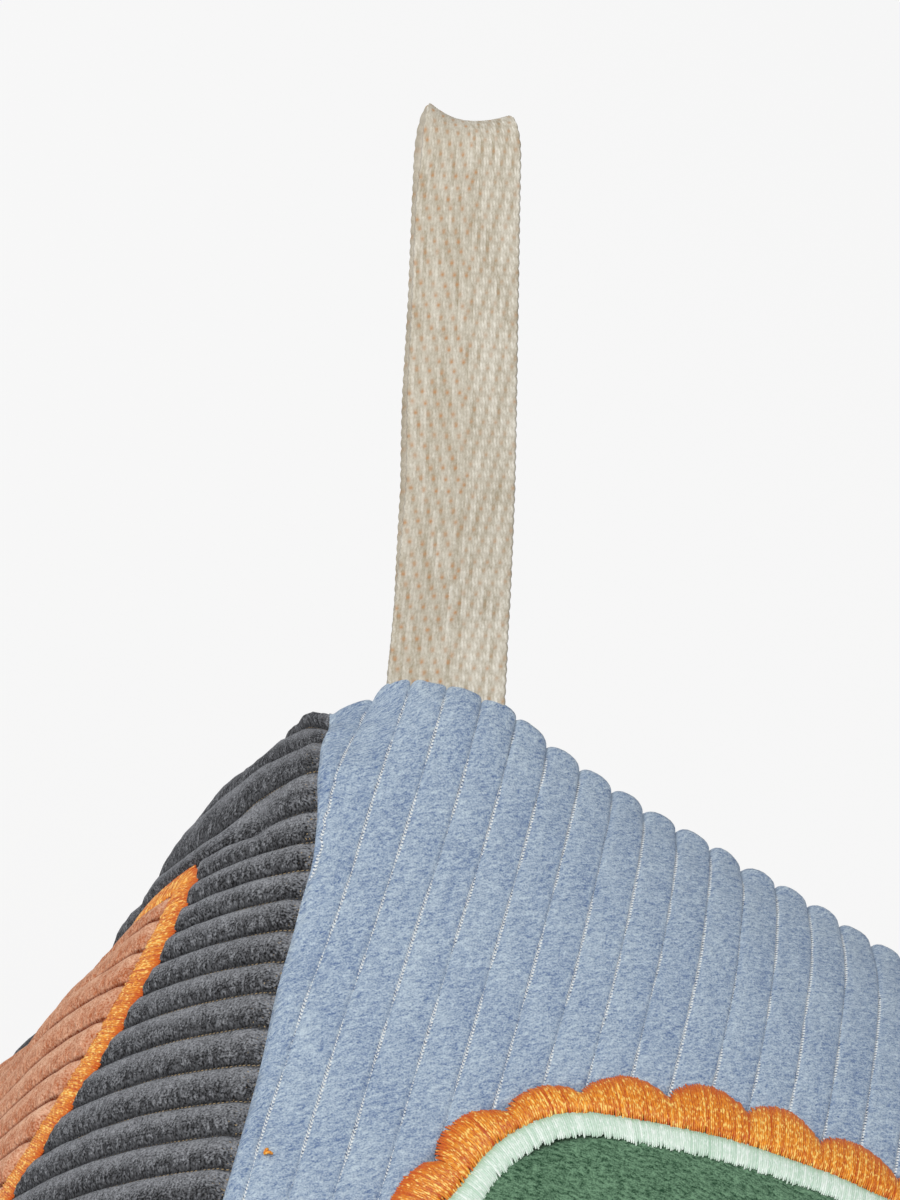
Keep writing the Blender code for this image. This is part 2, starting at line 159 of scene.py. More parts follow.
world = bpy.data.worlds.new("studio")
bpy.context.scene.world = world
world.use_nodes = True
tree = world.node_tree
tree.nodes.clear()
rays = add(tree, "LightPath").outputs
around = add(tree, "Background", {"Color": grey(1.0), "Strength": WORLD_LIGHT})
behind = add(tree, "Background", {"Color": grey(WORLD_PAPER), "Strength": 1.0})
mixed = add(tree, "MixShader", {0: rays["Is Camera Ray"], 1: around.outputs[0], 2: behind.outputs[0]})
add(tree, "OutputWorld", {"Surface": mixed.outputs[0]})
bpy.context.scene.view_settings.view_transform = "Standard"
print("background:", WORLD_PAPER, "and floor:", FLOOR_GLOW, "of its light for the camera")

# %% The lamps
LAMPS = {
    "key": {"towards": (-0.62, -0.30, 0.80), "distance": 1.6, "size": 1.1, "watts": 16.5},
    "fill": {"towards": (0.55, -0.75, 0.55), "distance": 1.8, "size": 1.5, "watts": 6.0},
}
LAMPS_AIM = Vector((0, 0, 0.1))
for name, lamp in LAMPS.items():
    light = bpy.data.lights.new(name, "AREA")
    light.shape = "SQUARE"
    light.size = lamp["size"]
    light.energy = lamp["watts"]
    holder = bpy.data.objects.new(name, light)
    towards = Vector(lamp["towards"]).normalized()
    holder.location = towards * lamp["distance"] + LAMPS_AIM
    holder.rotation_mode = "QUATERNION"
    holder.rotation_quaternion = towards.to_track_quat("Z", "Y")
    bpy.context.scene.collection.objects.link(holder)
print("lamps:", {name: lamp["watts"] for name, lamp in LAMPS.items()})

# %% [markdown]
# ## The shape of the stuffed cube
# A stuffed cube isn't flat anywhere: each face is crowned, and each seam bows in towards
# the middle, because cloth that bulges out has less left over along its edges. Each face
# here is one formula with a crown and four bowed edges, so that neighbouring faces meet
# exactly along their seams. Sculpting by hand would also do, but a formula lets the ribs,
# the patches and the stitches all lie on the same surface.

# %% Sizes of the cube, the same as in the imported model
def unit(vectors):
    """The vectors at a length of 1."""
    return vectors / np.linalg.norm(vectors, axis=-1, keepdims=True)


HALF = 0.075
CENTRE = Vector((0.0, 0.0, 0.0795))
EDGE_BOW = 0.0040
X, Y, Z = np.eye(3)
FACES = {
    "top": {"axes": (X, Y, Z), "crown": 0.0083, "fullness": (-0.40, 1.55)},
    "left": {"axes": (-Y, Z, -X), "crown": 0.0098, "fullness": (1.44, 1.44)},
    "back": {"axes": (-X, Z, Y), "crown": 0.0120, "fullness": (0.60, 0.60)},
    "right": {"axes": (Y, Z, X), "crown": 0.0120, "fullness": (0.60, 0.60)},
    "front": {"axes": (X, Z, -Y), "crown": 0.0120, "fullness": (0.60, 0.60)},
    "base": {"axes": (X, -Y, -Z), "crown": 0.0050, "fullness": (1.00, 1.00)},
}
SPECIAL_BOWS = {
    frozenset(("top", "left")): 0.0080,
    frozenset(("top", "back")): 0.0,
    frozenset(("left", "back")): 0.0,
}
# Where the loop and the stitching draw the corner: a centre, a distance and a spread
PULL_DIRECTION = unit(np.array((-0.29, 0.69, 0.66)))
TIP = np.array((-HALF, HALF, HALF))
LOOP_ROOT = TIP + X * 0.0105
PULLS = (
    (TIP, -0.0082, 0.0074),
    (LOOP_ROOT, 0.0041, 0.0088),
    (LOOP_ROOT, 0.0050, 0.060),
    (TIP, -0.0014, 0.0024),
    (TIP + X * 0.0072, 0.0011, 0.0022),
)
# Where the stuffing is thin and the charcoal panel gives: a place, a depth and a spread
DENTS = (
    ((-0.080, 0.0569, 0.0320), 0.0056, 0.0085),
    ((-0.080, 0.0765, 0.0598), 0.0027, 0.0046),
    ((-0.082, 0.0600, 0.0640), 0.0010, 0.0025),
)

# Small lumps and hollows of the stuffing beside them, in millimetres: a place in the first
# three numbers, a move in the next three, and a spread
NUDGES = (
    (-73.8, 73.6, 71.7, -0.24, 0.33, 0.30, 1.5), (-75.0, 73.6, 70.7, -0.33, 0.45, 0.42, 1.4),
    (-75.7, 73.8, 69.6, -0.31, 0.13, 0.06, 1.5), (-78.2, 73.3, 60.0, 0.38, -0.27, -0.20, 2.2),
    (-78.4, 73.3, 58.0, -0.40, 0.12, 0.03, 2.4), (-80.2, 67.0, 49.0, -0.19, 0.04, -0.01, 3.0),
    (-81.1, 60.4, 49.6, -0.54, 0.09, -0.05, 3.5), (-78.4, 72.4, 27.9, -0.24, 0.05, -0.00, 3.5),
    (-79.1, 71.5, 23.7, 0.39, -0.12, -0.03, 4.0), (-81.5, 66.3, 14.5, -0.18, 0.05, 0.01, 5.0),
    (-82.1, 65.2, 10.3, 0.32, -0.09, -0.01, 5.0), (-73.9, 67.2, 74.9, -0.48, -0.11, -0.25, 1.8),
    (-73.4, 62.9, 74.9, -0.46, -0.11, -0.24, 2.4), (-72.5, 57.6, 74.2, 0.16, 0.04, 0.08, 3.0),
    (-71.7, 52.0, 73.3, 0.51, 0.12, 0.27, 3.0), (-70.6, 44.3, 72.1, 0.24, 0.06, 0.12, 4.0),
    (-69.6, 35.3, 70.9, -0.16, -0.04, -0.08, 5.0), (-68.9, 27.5, 70.1, 0.12, 0.03, 0.06, 5.0),
    (-71.3, 75.6, 76.2, 0.29, -0.05, 0.03, 1.5), (-68.9, 78.4, 78.9, 0.07, -0.10, -0.09, 1.8),
    (-66.3, 79.2, 80.0, 0.08, -0.50, -0.53, 2.0), (-63.7, 79.8, 80.6, 0.12, -0.24, -0.23, 2.0),
    (-61.1, 80.0, 80.7, 0.01, -0.30, -0.32, 2.0), (-58.7, 80.0, 80.5, 0.01, -0.12, -0.13, 2.0),
    (-56.4, 79.6, 79.8, 0.09, 0.20, 0.25, 2.0), (-52.8, 79.4, 79.7, -0.06, -0.07, -0.09, 2.4),
    (-77.6, 59.9, 66.8, 1.8, 0.0, 0.0, 1.9), (-83.0, 49.0, 22.0, -1.1, 0.3, 0.1, 9.0),
    (-84.0, 48.0, 2.0, -1.0, 0.3, 0.0, 10.0), (-80.0, 71.0, 22.0, 2.4, -0.7, 0.0, 6.0),
    (-81.5, 69.0, 7.0, 2.2, -0.7, 0.0, 7.0), (-80.8, 65.8, 50.2, -0.19, 0.03, -0.01, 4.5),
    (-81.6, 60.5, 49.5, 0.38, -0.06, 0.03, 4.5), (-77.5, 71.2, 28.9, -1.49, 0.34, -0.01, 4.5),
    (-81.8, 49.9, 46.6, 0.87, -0.26, -0.06, 4.5), (-80.9, 60.8, 23.9, -0.32, 0.10, 0.03, 4.5),
    (-83.1, 59.7, 16.3, 0.36, -0.10, -0.01, 4.5), (-83.2, 48.5, 43.0, -1.62, 0.56, 0.20, 6.5),
    (-82.0, 56.1, 25.0, -0.25, 0.07, 0.01, 6.5), (-85.1, 52.4, 21.7, 0.18, -0.06, -0.02, 6.5),
)
NUDGE_REACH = 90.0 * MM


# %% The surface of a face
def neighbour(direction):
    """The face that looks in a direction."""
    return next(face for face, data in FACES.items() if np.allclose(data["axes"][2], direction))


def edge_bow(face, direction):
    """How far the seam towards that direction bows in, half way along it."""
    return SPECIAL_BOWS.get(frozenset((face, neighbour(direction))), EDGE_BOW)


def bell(points, centre, spread):
    """1 at the centre, falling smoothly to nothing around it."""
    square = ((points - centre) ** 2).sum(axis=-1)
    return np.exp(-square / (2 * spread**2))[..., None]


def pulled(points):
    """Moves points of the plain cube to where the loop and the stitching draw them."""
    moved = points.copy()
    for centre, distance, spread in PULLS:
        moved += bell(points, centre, spread) * PULL_DIRECTION * distance
    for centre, depth, spread in DENTS:
        moved += bell(points, np.array(centre), spread) * X * depth
    near = ((moved - TIP) ** 2).sum(axis=-1) < NUDGE_REACH**2
    if near.any():
        before = moved[near]
        after = before.copy()
        for nudge in np.array(NUDGES) * MM:
            after += bell(before, nudge[:3], nudge[6]) * nudge[3:6]
        moved[near] = after
    return moved


def face_point(face, across, up, offset=0.0):
    """Points of a face, from shares of its half side and an offset from its surface."""
    data = FACES[face]
    axis_a, axis_b, out = data["axes"]
    half = HALF + offset
    low_a, high_a = edge_bow(face, -axis_a), edge_bow(face, axis_a)
    low_b, high_b = edge_bow(face, -axis_b), edge_bow(face, axis_b)
    drawn_a = (low_a + (high_a - low_a) * (1 + across) / 2) * (1 - up**2)
    drawn_b = (low_b + (high_b - low_b) * (1 + up) / 2) * (1 - across**2)
    full_a, full_b = data["fullness"]
    crown = (1 - across**2) * (1 + full_a * across**2) * (1 - up**2) * (1 + full_b * up**2)
    height = half - drawn_a * across**2 - drawn_b * up**2 + data["crown"] * crown
    points = (across * (half - drawn_a))[..., None] * axis_a
    points = points + (up * (half - drawn_b))[..., None] * axis_b + height[..., None] * out
    return pulled(points) + np.array(CENTRE)


def face_normal(face, across, up):
    """Unit normals of a face's surface, from points a small step apart."""
    step = 0.002
    along_a = face_point(face, across + step, up) - face_point(face, across - step, up)
    along_b = face_point(face, across, up + step) - face_point(face, across, up - step)
    return unit(np.cross(along_a, along_b))


middle = face_point("top", np.array(0.0), np.array(0.0))
print("top face's middle is", round(float(middle[2]) / MM, 1), "mm above the floor")


# %% Smooth noise, for lumps and small irregularities
CELLS = 256


def noise(x, y, seed):
    """Smooth values from -1 to 1, with a new random value at every whole number."""
    table = np.random.default_rng(seed).uniform(-1, 1, (CELLS, CELLS))
    cell_x, cell_y = np.floor(x).astype(int), np.floor(y).astype(int)
    part_x, part_y = x - cell_x, y - cell_y
    ease_x, ease_y = part_x**2 * (3 - 2 * part_x), part_y**2 * (3 - 2 * part_y)
    low_x, low_y = cell_x % CELLS, cell_y % CELLS
    high_x, high_y = (cell_x + 1) % CELLS, (cell_y + 1) % CELLS
    below = table[low_x, low_y] * (1 - ease_x) + table[high_x, low_y] * ease_x
    above = table[low_x, high_y] * (1 - ease_x) + table[high_x, high_y] * ease_x
    return below * (1 - ease_y) + above * ease_y


def ease(value):
    """0 below 0, 1 above 1, and a smooth step between."""
    clipped = np.clip(value, 0.0, 1.0)
    return clipped**2 * (3 - 2 * clipped)


# %% A helper that turns arrays into a mesh
def mesh_piece(name, points, faces, look, values=None, places=None):
    """A smooth-shaded mesh object with the values that its material reads at each point."""
    mesh = bpy.data.meshes.new(name)
    mesh.from_pydata(np.asarray(points).tolist(), [], faces)
    for key, value in (values or {}).items():
        stored = mesh.attributes.new(key, "FLOAT", "POINT")
        stored.data.foreach_set("value", np.asarray(value, np.float32).ravel())
    if places is not None:
        stored = mesh.attributes.new("place", "FLOAT_VECTOR", "POINT")
        stored.data.foreach_set("vector", np.asarray(places, np.float32).ravel())
    mesh.shade_smooth()
    mesh.materials.append(look)
    made = bpy.data.objects.new(name, mesh)
    bpy.context.scene.collection.objects.link(made)
    return made


def grid_faces(ids):
    """Faces between neighbours in a grid of point numbers, leaving out collapsed ones."""
    corners = (ids[:-1, :-1], ids[1:, :-1], ids[1:, 1:], ids[:-1, 1:])
    faces = []
    for quad in np.stack(corners, axis=-1).reshape(-1, 4).tolist():
        kept = list(dict.fromkeys(quad))
        if len(kept) > 2:
            faces.append(kept)
    return faces


# %% [markdown]
# ## Corduroy
# The pile of corduroy stands in wales, and between two wales there is a narrow gap where
# the woven base shows. On this block a wale is just over 4 mm wide. The wales are real
# geometry, because they show on the outline of the block wherever a panel turns away. A
# bump map alone would leave that outline smooth. The mesh has its columns on the gaps, so
# that each gap is a clean line, and the fine pile is left to the material.

# %% The ribs
WALE = 0.00415
WALE_HEIGHT = 0.00085
WALE_STEPS = (0.0, 0.028, 0.065, 0.13, 0.25, 0.42, 0.58, 0.75, 0.87, 0.935, 0.972)
# How much of a bowed seam's run the ribs beside it don't follow
STRAIGHT = 0.8
ROUNDING = 0.52
# Slow lumps of the pile and its small knobs: their sizes across and along a rib
LUMP = 0.08
LUMP_SIZE = (1.7 * MM, 2.6 * MM)
KNOB_SIZE = (0.9 * MM, 1.3 * MM)
CLEAR = 0.02 * MM
# The charcoal ribs are spread near the corner, where the cloth is pulled round it
CORNER_GAPS = (3.0, 8.0, 14.3, 19.4, 23.3, 26.6, 30.1, 33.9, 37.6, 41.4, 45.6, 50.0, 54.4)


def even_gaps(first_gap):
    """Gaps between ribs at equal distances, from well below zero to beyond the cloth."""
    return first_gap + WALE * np.arange(-40, 80)


def corner_gaps():
    """The charcoal panel's gaps: the measured ones, and then even ones."""
    measured = np.array(CORNER_GAPS) * MM
    return np.concatenate(((-2 * MM,), measured, measured[-1] + WALE * np.arange(1, 40)))


def wale_columns(low, high, gaps):
    """Places across the cloth, from low to high, with some on every gap and rib."""
    steps = np.array(WALE_STEPS)
    places = (gaps[:-1, None] + np.diff(gaps)[:, None] * steps).ravel()
    inside = [place for place in places if low + CLEAR < place < high - CLEAR]
    return np.array([low, *inside, high])


def wale_share(across, gaps):
    """Where a place lies in its rib: 0 and 1 are its two gaps."""
    return np.mod(np.interp(across, gaps, np.arange(len(gaps))), 1.0)


def wale_relief(across, along, gaps, seed, knobs, fullness=2.8, floor=0.0, gap_share=0.05):
    """Height of the pile above the woven base, rounded and a little uneven.

    The fullness says how square a rib is, and the floor how high its gaps lie.
    """
    share = wale_share(across, gaps)
    side = np.clip(np.abs(2 * share - 1) / (1 - gap_share), 0.0, 1.0)
    rounded = floor + (1 - floor) * (1 - side**fullness) ** ROUNDING
    lumps = LUMP * noise(across / LUMP_SIZE[0], along / LUMP_SIZE[1], seed)
    grains = noise(across / KNOB_SIZE[0], along / KNOB_SIZE[1], seed + 1)
    return WALE_HEIGHT * rounded * (1 + lumps + knobs * grains)


print("ribs:", round(WALE / MM, 2), "mm wide and", round(WALE_HEIGHT / MM, 2), "mm high")

# %% [markdown]
# ## Where the cloth is held down
# Under a patch the pile is pressed flat, because the satin stitches go through both
# cloths. At a seam the pile rolls down between the two panels, and the stitches gather the
# cloth in small puckers. Both are worked out here as a height from 0 to 1 by which the
# ribs are multiplied, so that patches and seams never cut through the ribs. A cloth
# simulation would also give the puckers, but it would move the corner, which was fitted to
# the photograph.

# %% Where the patches press the pile down
PATCH_LENGTH = 51.6 * MM
PATCH_WIDTH = 32.3 * MM
PATCH_ROUND_SHARE = 0.727
HALF_EDGE = -52.0 * MM
HALF_HEIGHT = 116.2 * MM
HALF_WIDTH = 53.0 * MM
SATIN_WIDTH = 3.0 * MM
ROUND = 40.0 * MM
SQUARE = 36.0 * MM
SQUARE_ROUND_SHARE = 0.40
PETAL = 40.0 * MM
PETAL_POINT_SHARE = 0.22
SCALLOP_REACH = 6.0 * MM
PRESSED = 0.12
# The pressed cloth rises again over a short way, which starts a little inside the border
PRESS_START = 0.3 * MM
PRESS_RISE = 1.2 * MM
HALF_ROUND_SHRINK = 0.7 * MM


def outside(across, up, half_length, half_width, round_share):
    """About how far places lie outside a superellipse, below zero inside it."""
    power = 2 / round_share
    parts = np.abs(across) / half_length + 1e-6, np.abs(up) / half_width + 1e-6
    level = parts[0] ** power + parts[1] ** power
    slopes = parts[0] ** (power - 1) / half_length, parts[1] ** (power - 1) / half_width
    return (level ** (1 / power) - 1) / (level ** (1 / power - 1) * np.hypot(*slopes))


def standing(face, across, up):
    """How much of its height the pile keeps: little under a patch and its border."""
    more = SATIN_WIDTH
    if face == "top":
        halves = PATCH_LENGTH + SCALLOP_REACH, PATCH_WIDTH + SCALLOP_REACH
        distance = outside(across, up, *halves, PATCH_ROUND_SHARE)
    elif face == "left":
        curve = outside(across - HALF_EDGE, up, HALF_WIDTH + more, HALF_HEIGHT / 2 + more, 1.0)
        distance = np.maximum(curve, HALF_EDGE - more - across) + HALF_ROUND_SHRINK
    elif face == "right":
        distance = outside(across, up, SQUARE + more, SQUARE + more, SQUARE_ROUND_SHARE)
    elif face in ("front", "back"):
        distance = outside(across, up, ROUND + more, ROUND + more, 1.0)
    else:
        return np.ones_like(across)
    return PRESSED + (1 - PRESSED) * ease((distance + PRESS_START) / PRESS_RISE)


# %% Seams draw the cloth in
ALLOWANCE = 0.0026
# How wide the pile rolls down to a seam, and how deep it sinks there
SEAM_PLAIN = (1.9 * MM, 0.7 * MM)
SEAM_STYLES = {
    ("top", "left"): (0.9 * MM, 0.15 * MM),
    ("top", "back"): (0.7 * MM, 0.35 * MM),
    ("left", "top"): (1.5 * MM, 0.5 * MM),
    ("back", "top"): (6.0 * MM, 2.0 * MM),
    ("back", "right"): (3.0 * MM, 1.0 * MM),
    ("left", "back"): (1.9 * MM, 0.5 * MM),
    ("back", "left"): (5.0 * MM, 1.6 * MM),
}
# Stitches gather the cloth: how high the waves are, how long, and how far in they reach
PUCKER = 0.35 * MM
PUCKER_LENGTH = 3.6 * MM
PUCKER_WIDTH = 14.0 * MM
PUCKER_FADE = 6.0 * MM
# The weight of the block flattens its base on the floor
FLOOR_GAP = 0.05 * MM


def seam_fall(face, across, up):
    """How full the pile stands, 0 on a seam and 1 away from it, and how far it sinks."""
    axis_a, axis_b = FACES[face]["axes"][:2]
    fall, sink = np.ones_like(across), np.zeros_like(across)
    for near, direction in ((across, axis_a), (-across, -axis_a), (up, axis_b), (-up, -axis_b)):
        roll, depth = SEAM_STYLES.get((face, neighbour(direction)), SEAM_PLAIN)
        here = ease((1 - near) * HALF / roll)
        fall = fall * here
        sink = np.maximum(sink, depth * (1 - here))
    return fall, sink


def puckers(face, across, up):
    """Small waves where the stitches of a seam gather the cloth, and slow unevenness."""
    seed = 10 * list(FACES).index(face)
    total = PUCKER * noise(across * 3.1 + 9, up * 3.1 + 9, seed)
    for k, (near, along) in enumerate(((across, up), (-across, up), (up, across), (-up, across))):
        distance = (1 - near) * HALF
        wave = noise(along * HALF / PUCKER_LENGTH + 40, distance / PUCKER_WIDTH + 3, seed + k + 1)
        total = total + PUCKER * wave * np.exp(-distance / PUCKER_FADE)
    return total * ease((1 - np.abs(across)) * HALF / MM) * ease((1 - np.abs(up)) * HALF / MM)


# %% Sheets of corduroy laid on a face
EDGE_ROWS = np.array((0.0, 0.25, 0.55, 0.9, 1.3, 1.8, 2.4)) * MM
WIGGLE = 0.10 * MM
# The charcoal ribs run aside in a crease below the corner: place, spread and shift
CREASE = (15.0 * MM, 4.5 * MM, 2.4 * MM)
# The blue panel's back edge lies over the seam, and its left edge is ragged
OVERHANG = 0.7 * MM
AT_LOOP = (13.0 * MM, 6.5 * MM)
RAGGED = ((0.34 * MM, 1.1 * MM, 91), (0.16 * MM, 3.7 * MM, 92))


def sheet_points(face, across, up, lift):
    """Points of a sheet that stands off a face by the lift."""
    normal = face_normal(face, across, up)
    return face_point(face, across, up) + normal * (lift + puckers(face, across, up))[..., None]


def hemmed_piece(name, points, lowered, ids, look, values, places):
    """A sheet whose rim turns down to the lowered points."""
    loop = [*ids[:, 0], *ids[-1, :], *ids[::-1, -1], *ids[0, ::-1]]
    loop = list(dict.fromkeys(int(k) for k in loop))
    faces = grid_faces(ids)
    for k, first in enumerate(loop):
        after = (k + 1) % len(loop)
        faces.append([loop[after], first, len(points) + k, len(points) + after])
    values = {key: np.concatenate((value, value[loop])) for key, value in values.items()}
    points = np.concatenate((points, lowered[loop]))
    return mesh_piece(name, points, faces, look, values, np.concatenate((places, places[loop])))


def row_shares(length, spacing):
    """Shares from -1 to 1, with close rows near both ends for the rolled edge."""
    close = EDGE_ROWS / length * 2
    count = round((length - 2 * EDGE_ROWS[-1]) / spacing)
    inner = np.linspace(-1 + close[-1], 1 - close[-1], count + 1)
    return np.concatenate((-1 + close[:-1], inner, (1 - close[:-1])[::-1]))


def crease(place, from_seam):
    """How far the charcoal ribs run aside at a place and a distance from the top seam."""
    middle, spread, shift = CREASE
    lasting = ease((from_seam - 9 * MM) / (5 * MM)) * (1 - ease((from_seam - 18 * MM) / (14 * MM)))
    return shift * np.exp(-(((place - middle) / spread) ** 2)) * lasting


def band(distance, rise, fall):
    """0 on an edge, 1 a rise from it, and 0 again a fall further in."""
    return ease(distance / rise) * (1 - ease((distance - rise) / fall))


def beyond_edges(place, across, up, at_loop, relief):
    """How far the blue panel's pile stands out over the back seam and the left seam."""
    over = OVERHANG * band((1 - up) * HALF, 0.4 * MM, 2.6 * MM) * (1 - 0.6 * at_loop)
    uneven = sum(size * noise(up * HALF / step, place * 0, seed) for size, step, seed in RAGGED)
    ragged = uneven * band((across + 1) * HALF, 0.3 * MM, 2.2 * MM)
    return (over * relief / WALE_HEIGHT)[..., None] * Y - ragged[..., None] * X


def trimmed(across):
    """Point numbers for columns of shares, where those that run past a seam end on it."""
    across[0], across[-1] = np.minimum(across[0], -1), np.maximum(across[-1], 1)
    ids = np.arange(across.size).reshape(across.shape)
    for row in range(across.shape[1]):
        left = np.flatnonzero(across[:, row] <= -1)[-1]
        right = np.flatnonzero(across[:, row] >= 1)[0]
        ids[:left, row] = ids[left, row]
        ids[right:, row] = ids[right, row]
    return ids, np.clip(across, -1, 1)


def panel_piece(face, look, gaps, knobs, seed, spacing, style):
    """One square of corduroy, with its ribs running up the face."""
    fullness, floor, gap_share = style
    columns = wale_columns(0.0, 2 * HALF, gaps)
    place, up = np.meshgrid(columns, row_shares(2 * HALF, spacing), indexing="ij")
    from_seam = (1 - up) * HALF
    wiggle = WIGGLE * noise(place / WALE * 0.5, up * HALF / (9 * MM) + 60, seed + 5)
    if face == "left":
        wiggle = wiggle + crease(place, from_seam)
    bow = edge_bow(face, -FACES[face]["axes"][0]) * (1 - up**2)
    straight = (place + wiggle - HALF) / (HALF - bow)
    ids, across = trimmed(STRAIGHT * straight + (1 - STRAIGHT) * ((place + wiggle) / HALF - 1))
    fall, sink = seam_fall(face, across, up)
    at_loop = np.exp(-(((place - AT_LOOP[0]) / AT_LOOP[1]) ** 2)) * (face == "top")
    near_back = (1 - ease(from_seam / (7 * MM))) * (1 - 0.7 * at_loop)
    full = fullness + (2.1 - fullness) * near_back
    floor = floor * (1 - near_back)
    relief = wale_relief(place, up * HALF, gaps, seed, knobs, full, floor, gap_share)
    lift = relief * fall * standing(face, across * HALF, up * HALF) - sink
    points = sheet_points(face, across, up, lift)
    if face == "top":
        points = points + beyond_edges(place, across, up, at_loop, relief)
    if face == "base":
        points[..., 2] = np.maximum(points[..., 2], FLOOR_GAP)
    lowered = face_point(face, across, up, -ALLOWANCE).reshape(-1, 3)
    share = wale_share(place, gaps).ravel()
    values = {
        "gap": np.minimum(share, 1 - share) * WALE,
        "side": np.sin(math.tau * share),
        "frayed": 1 - ease(from_seam.ravel() / (3.5 * MM)),
    }
    places = np.stack((place, up * HALF, np.full(place.shape, seed * 0.01)), axis=-1).reshape(-1, 3)
    name = face + "_panel_corduroy"
    made = hemmed_piece(name, points.reshape(-1, 3), lowered, ids, look, values, places)
    drop_loose_points(made)
    return made


def drop_loose_points(piece):
    """Removes the points that no face uses, where columns ran into a seam."""
    shape = bmesh.new()
    shape.from_mesh(piece.data)
    loose = [point for point in shape.verts if not point.link_faces]
    bmesh.ops.delete(shape, geom=loose, context="VERTS")
    shape.to_mesh(piece.data)
    shape.free()


print("rows up a panel:", len(row_shares(2 * HALF, MM)), "at 1 mm")

# %% [markdown]
# ## The look of pile
# Pile is thousands of cut ends that lean different ways, so it shows light and dark
# specks, longer streaks across the rib, and broad mottling. One shader group makes all of
# that for the blue, charcoal and peach corduroy and for the velvet. It also draws the
# base weave in the gaps: a row of pale, dotted stitches. It paints shade in the grooves,
# in the gaps and between tufts, paints one flank of each rib lighter and the other darker
# as light falls on them, and paints the grooves lighter near the back seam. The sheen that
# makes pile pale at its edges is set on each material's own shader.

# %% A short way to write shader groups
class Signal:
    """A node's output that is added, subtracted and multiplied like a number."""

    def __init__(self, tree, socket):
        self.tree, self.socket = tree, socket

    def maths(self, operation, *values):
        """The result of a maths node, from numbers or signals."""
        made = add(self.tree, "Math", dict(enumerate(values)), operation=operation)
        return Signal(self.tree, made.outputs[0])

    def __add__(self, other):
        return self.maths("ADD", self, other)

    def __sub__(self, other):
        return self.maths("SUBTRACT", self, other)

    def __rsub__(self, other):
        return self.maths("SUBTRACT", other, self)

    def __mul__(self, other):
        return self.maths("MULTIPLY", self, other)

    def larger(self, other):
        """The larger of two values."""
        return self.maths("MAXIMUM", self, other)

    def ramp(self, low, high):
        """0 at low and 1 at high, smooth between."""
        inputs = {"Value": self, "From Min": low, "From Max": high}
        made = add(self.tree, "MapRange", inputs, interpolation_type="SMOOTHSTEP")
        return Signal(self.tree, made.outputs[0])

    def noise(self, scale, detail=2.0, roughness=0.55, stretch=None):
        """Noise at this place, which may be stretched along its axes first."""
        place = self
        if stretch:
            place = add(self.tree, "VectorMath", {0: self, 1: stretch}, operation="MULTIPLY").outputs[0]
        inputs = {"Vector": place, "Scale": scale, "Detail": detail, "Roughness": roughness}
        return Signal(self.tree, add(self.tree, "TexNoise", inputs).outputs["Fac"])

    def mix(self, first, second):
        """The first colour at 0 and the second at 1."""
        made = add(self.tree, "Mix", {0: self, 6: first, 7: second}, data_type="RGBA", clamp_factor=True)
        return Signal(self.tree, made.outputs[2])


def group_of(name, inputs, outputs):
    """A new shader node group, its inputs as signals, and its output sockets."""
    made = bpy.data.node_groups.new(name, "ShaderNodeTree")
    for key, value in inputs.items():
        kind = "Vector" if value is None else "Float" if isinstance(value, float) else "Color"
        socket = made.interface.new_socket(key, in_out="INPUT", socket_type="NodeSocket" + kind)
        if value is not None:
            socket.default_value = value
    for key, kind in outputs.items():
        made.interface.new_socket(key, in_out="OUTPUT", socket_type="NodeSocket" + kind)
    sockets = made.nodes.new("NodeGroupInput").outputs
    given = {key: Signal(made, sockets[key]) for key in inputs}
    return made, given, made.nodes.new("NodeGroupOutput").inputs


def new_look(name):
    """A new material, with its node tree and its shader."""
    look = bpy.data.materials.new(name)
    look.use_nodes = True
    return look, look.node_tree, look.node_tree.nodes["Principled BSDF"]


def stored(tree, name, output="Fac"):
    """A value that the mesh stores at each point."""
    return Signal(tree, add(tree, "Attribute", attribute_name=name).outputs[output])


def dress(tree, shader, shade, height, bump, finish):
    """Gives a shader its colour, its bump of a strength and a distance, and its finish."""
    raised = add(tree, "Bump", {"Strength": bump[0], "Distance": bump[1], "Height": height})
    tree.links.new(getattr(shade, "socket", shade), shader.inputs["Base Color"])
    tree.links.new(raised.outputs[0], shader.inputs["Normal"])
    for key, value in finish.items():
        shader.inputs[key].default_value = value


def group_look(name, group, values, settings, bump, finish):
    """A material that takes its colour and height from a group, fed with stored values."""
    look, tree, shader = new_look(name)
    made = add(tree, "Group", {}, node_tree=group)
    for key, value in settings.items():
        made.inputs[key].default_value = value
    tree.links.new(stored(tree, "place", "Vector").socket, made.inputs["Place"])
    for key in values:
        tree.links.new(stored(tree, key.lower()).socket, made.inputs[key])
    dress(tree, shader, made.outputs["Color"], made.outputs["Height"], bump, finish)
    look.diffuse_color = settings["Light"]
    return look


def colour(red, green, blue):
    """A linear colour from the 0 to 255 numbers of a picture."""
    parts = [value / 255 for value in (red, green, blue)]
    linear = [((part + 0.055) / 1.055) ** 2.4 if part > 0.04045 else part / 12.92 for part in parts]
    return (*linear, 1.0)


# %% The pile group
pile, given, out = group_of(
    "cut pile",
    {
        "Place": None,
        "Gap": 1.0,
        "Side": 0.0,
        "Frayed": 0.0,
        "Light": grey(0.6),
        "Dark": grey(0.4),
        "Gap light": grey(0.8),
        "Gap shade": grey(0.2),
        "Gap width": 0.00018,
        "Streaks": 1.7,
        "Clumps": 1.2,
        "Grain": 1.4,
        "Flank shading": 0.0,
        "Groove": 0.2,
        "Lit from": -0.04,
        "Groove to": 0.0007,
        "Shear": 0.0,
        "Cover": 0.0,
        "Specks": 0.22,
        "Fineness": 1.0,
        "Length": 0.45,
        "Tufts": 0.0,
    },
    {"Color": "Color", "Height": "Float"},
)
place, side, gap, frayed = (given[key] for key in ("Place", "Side", "Gap", "Frayed"))
split = add(pile, "SeparateXYZ", {"Vector": place})
across, along, deep = (Signal(pile, socket) for socket in split.outputs)
leaning = across * given["Shear"] + along


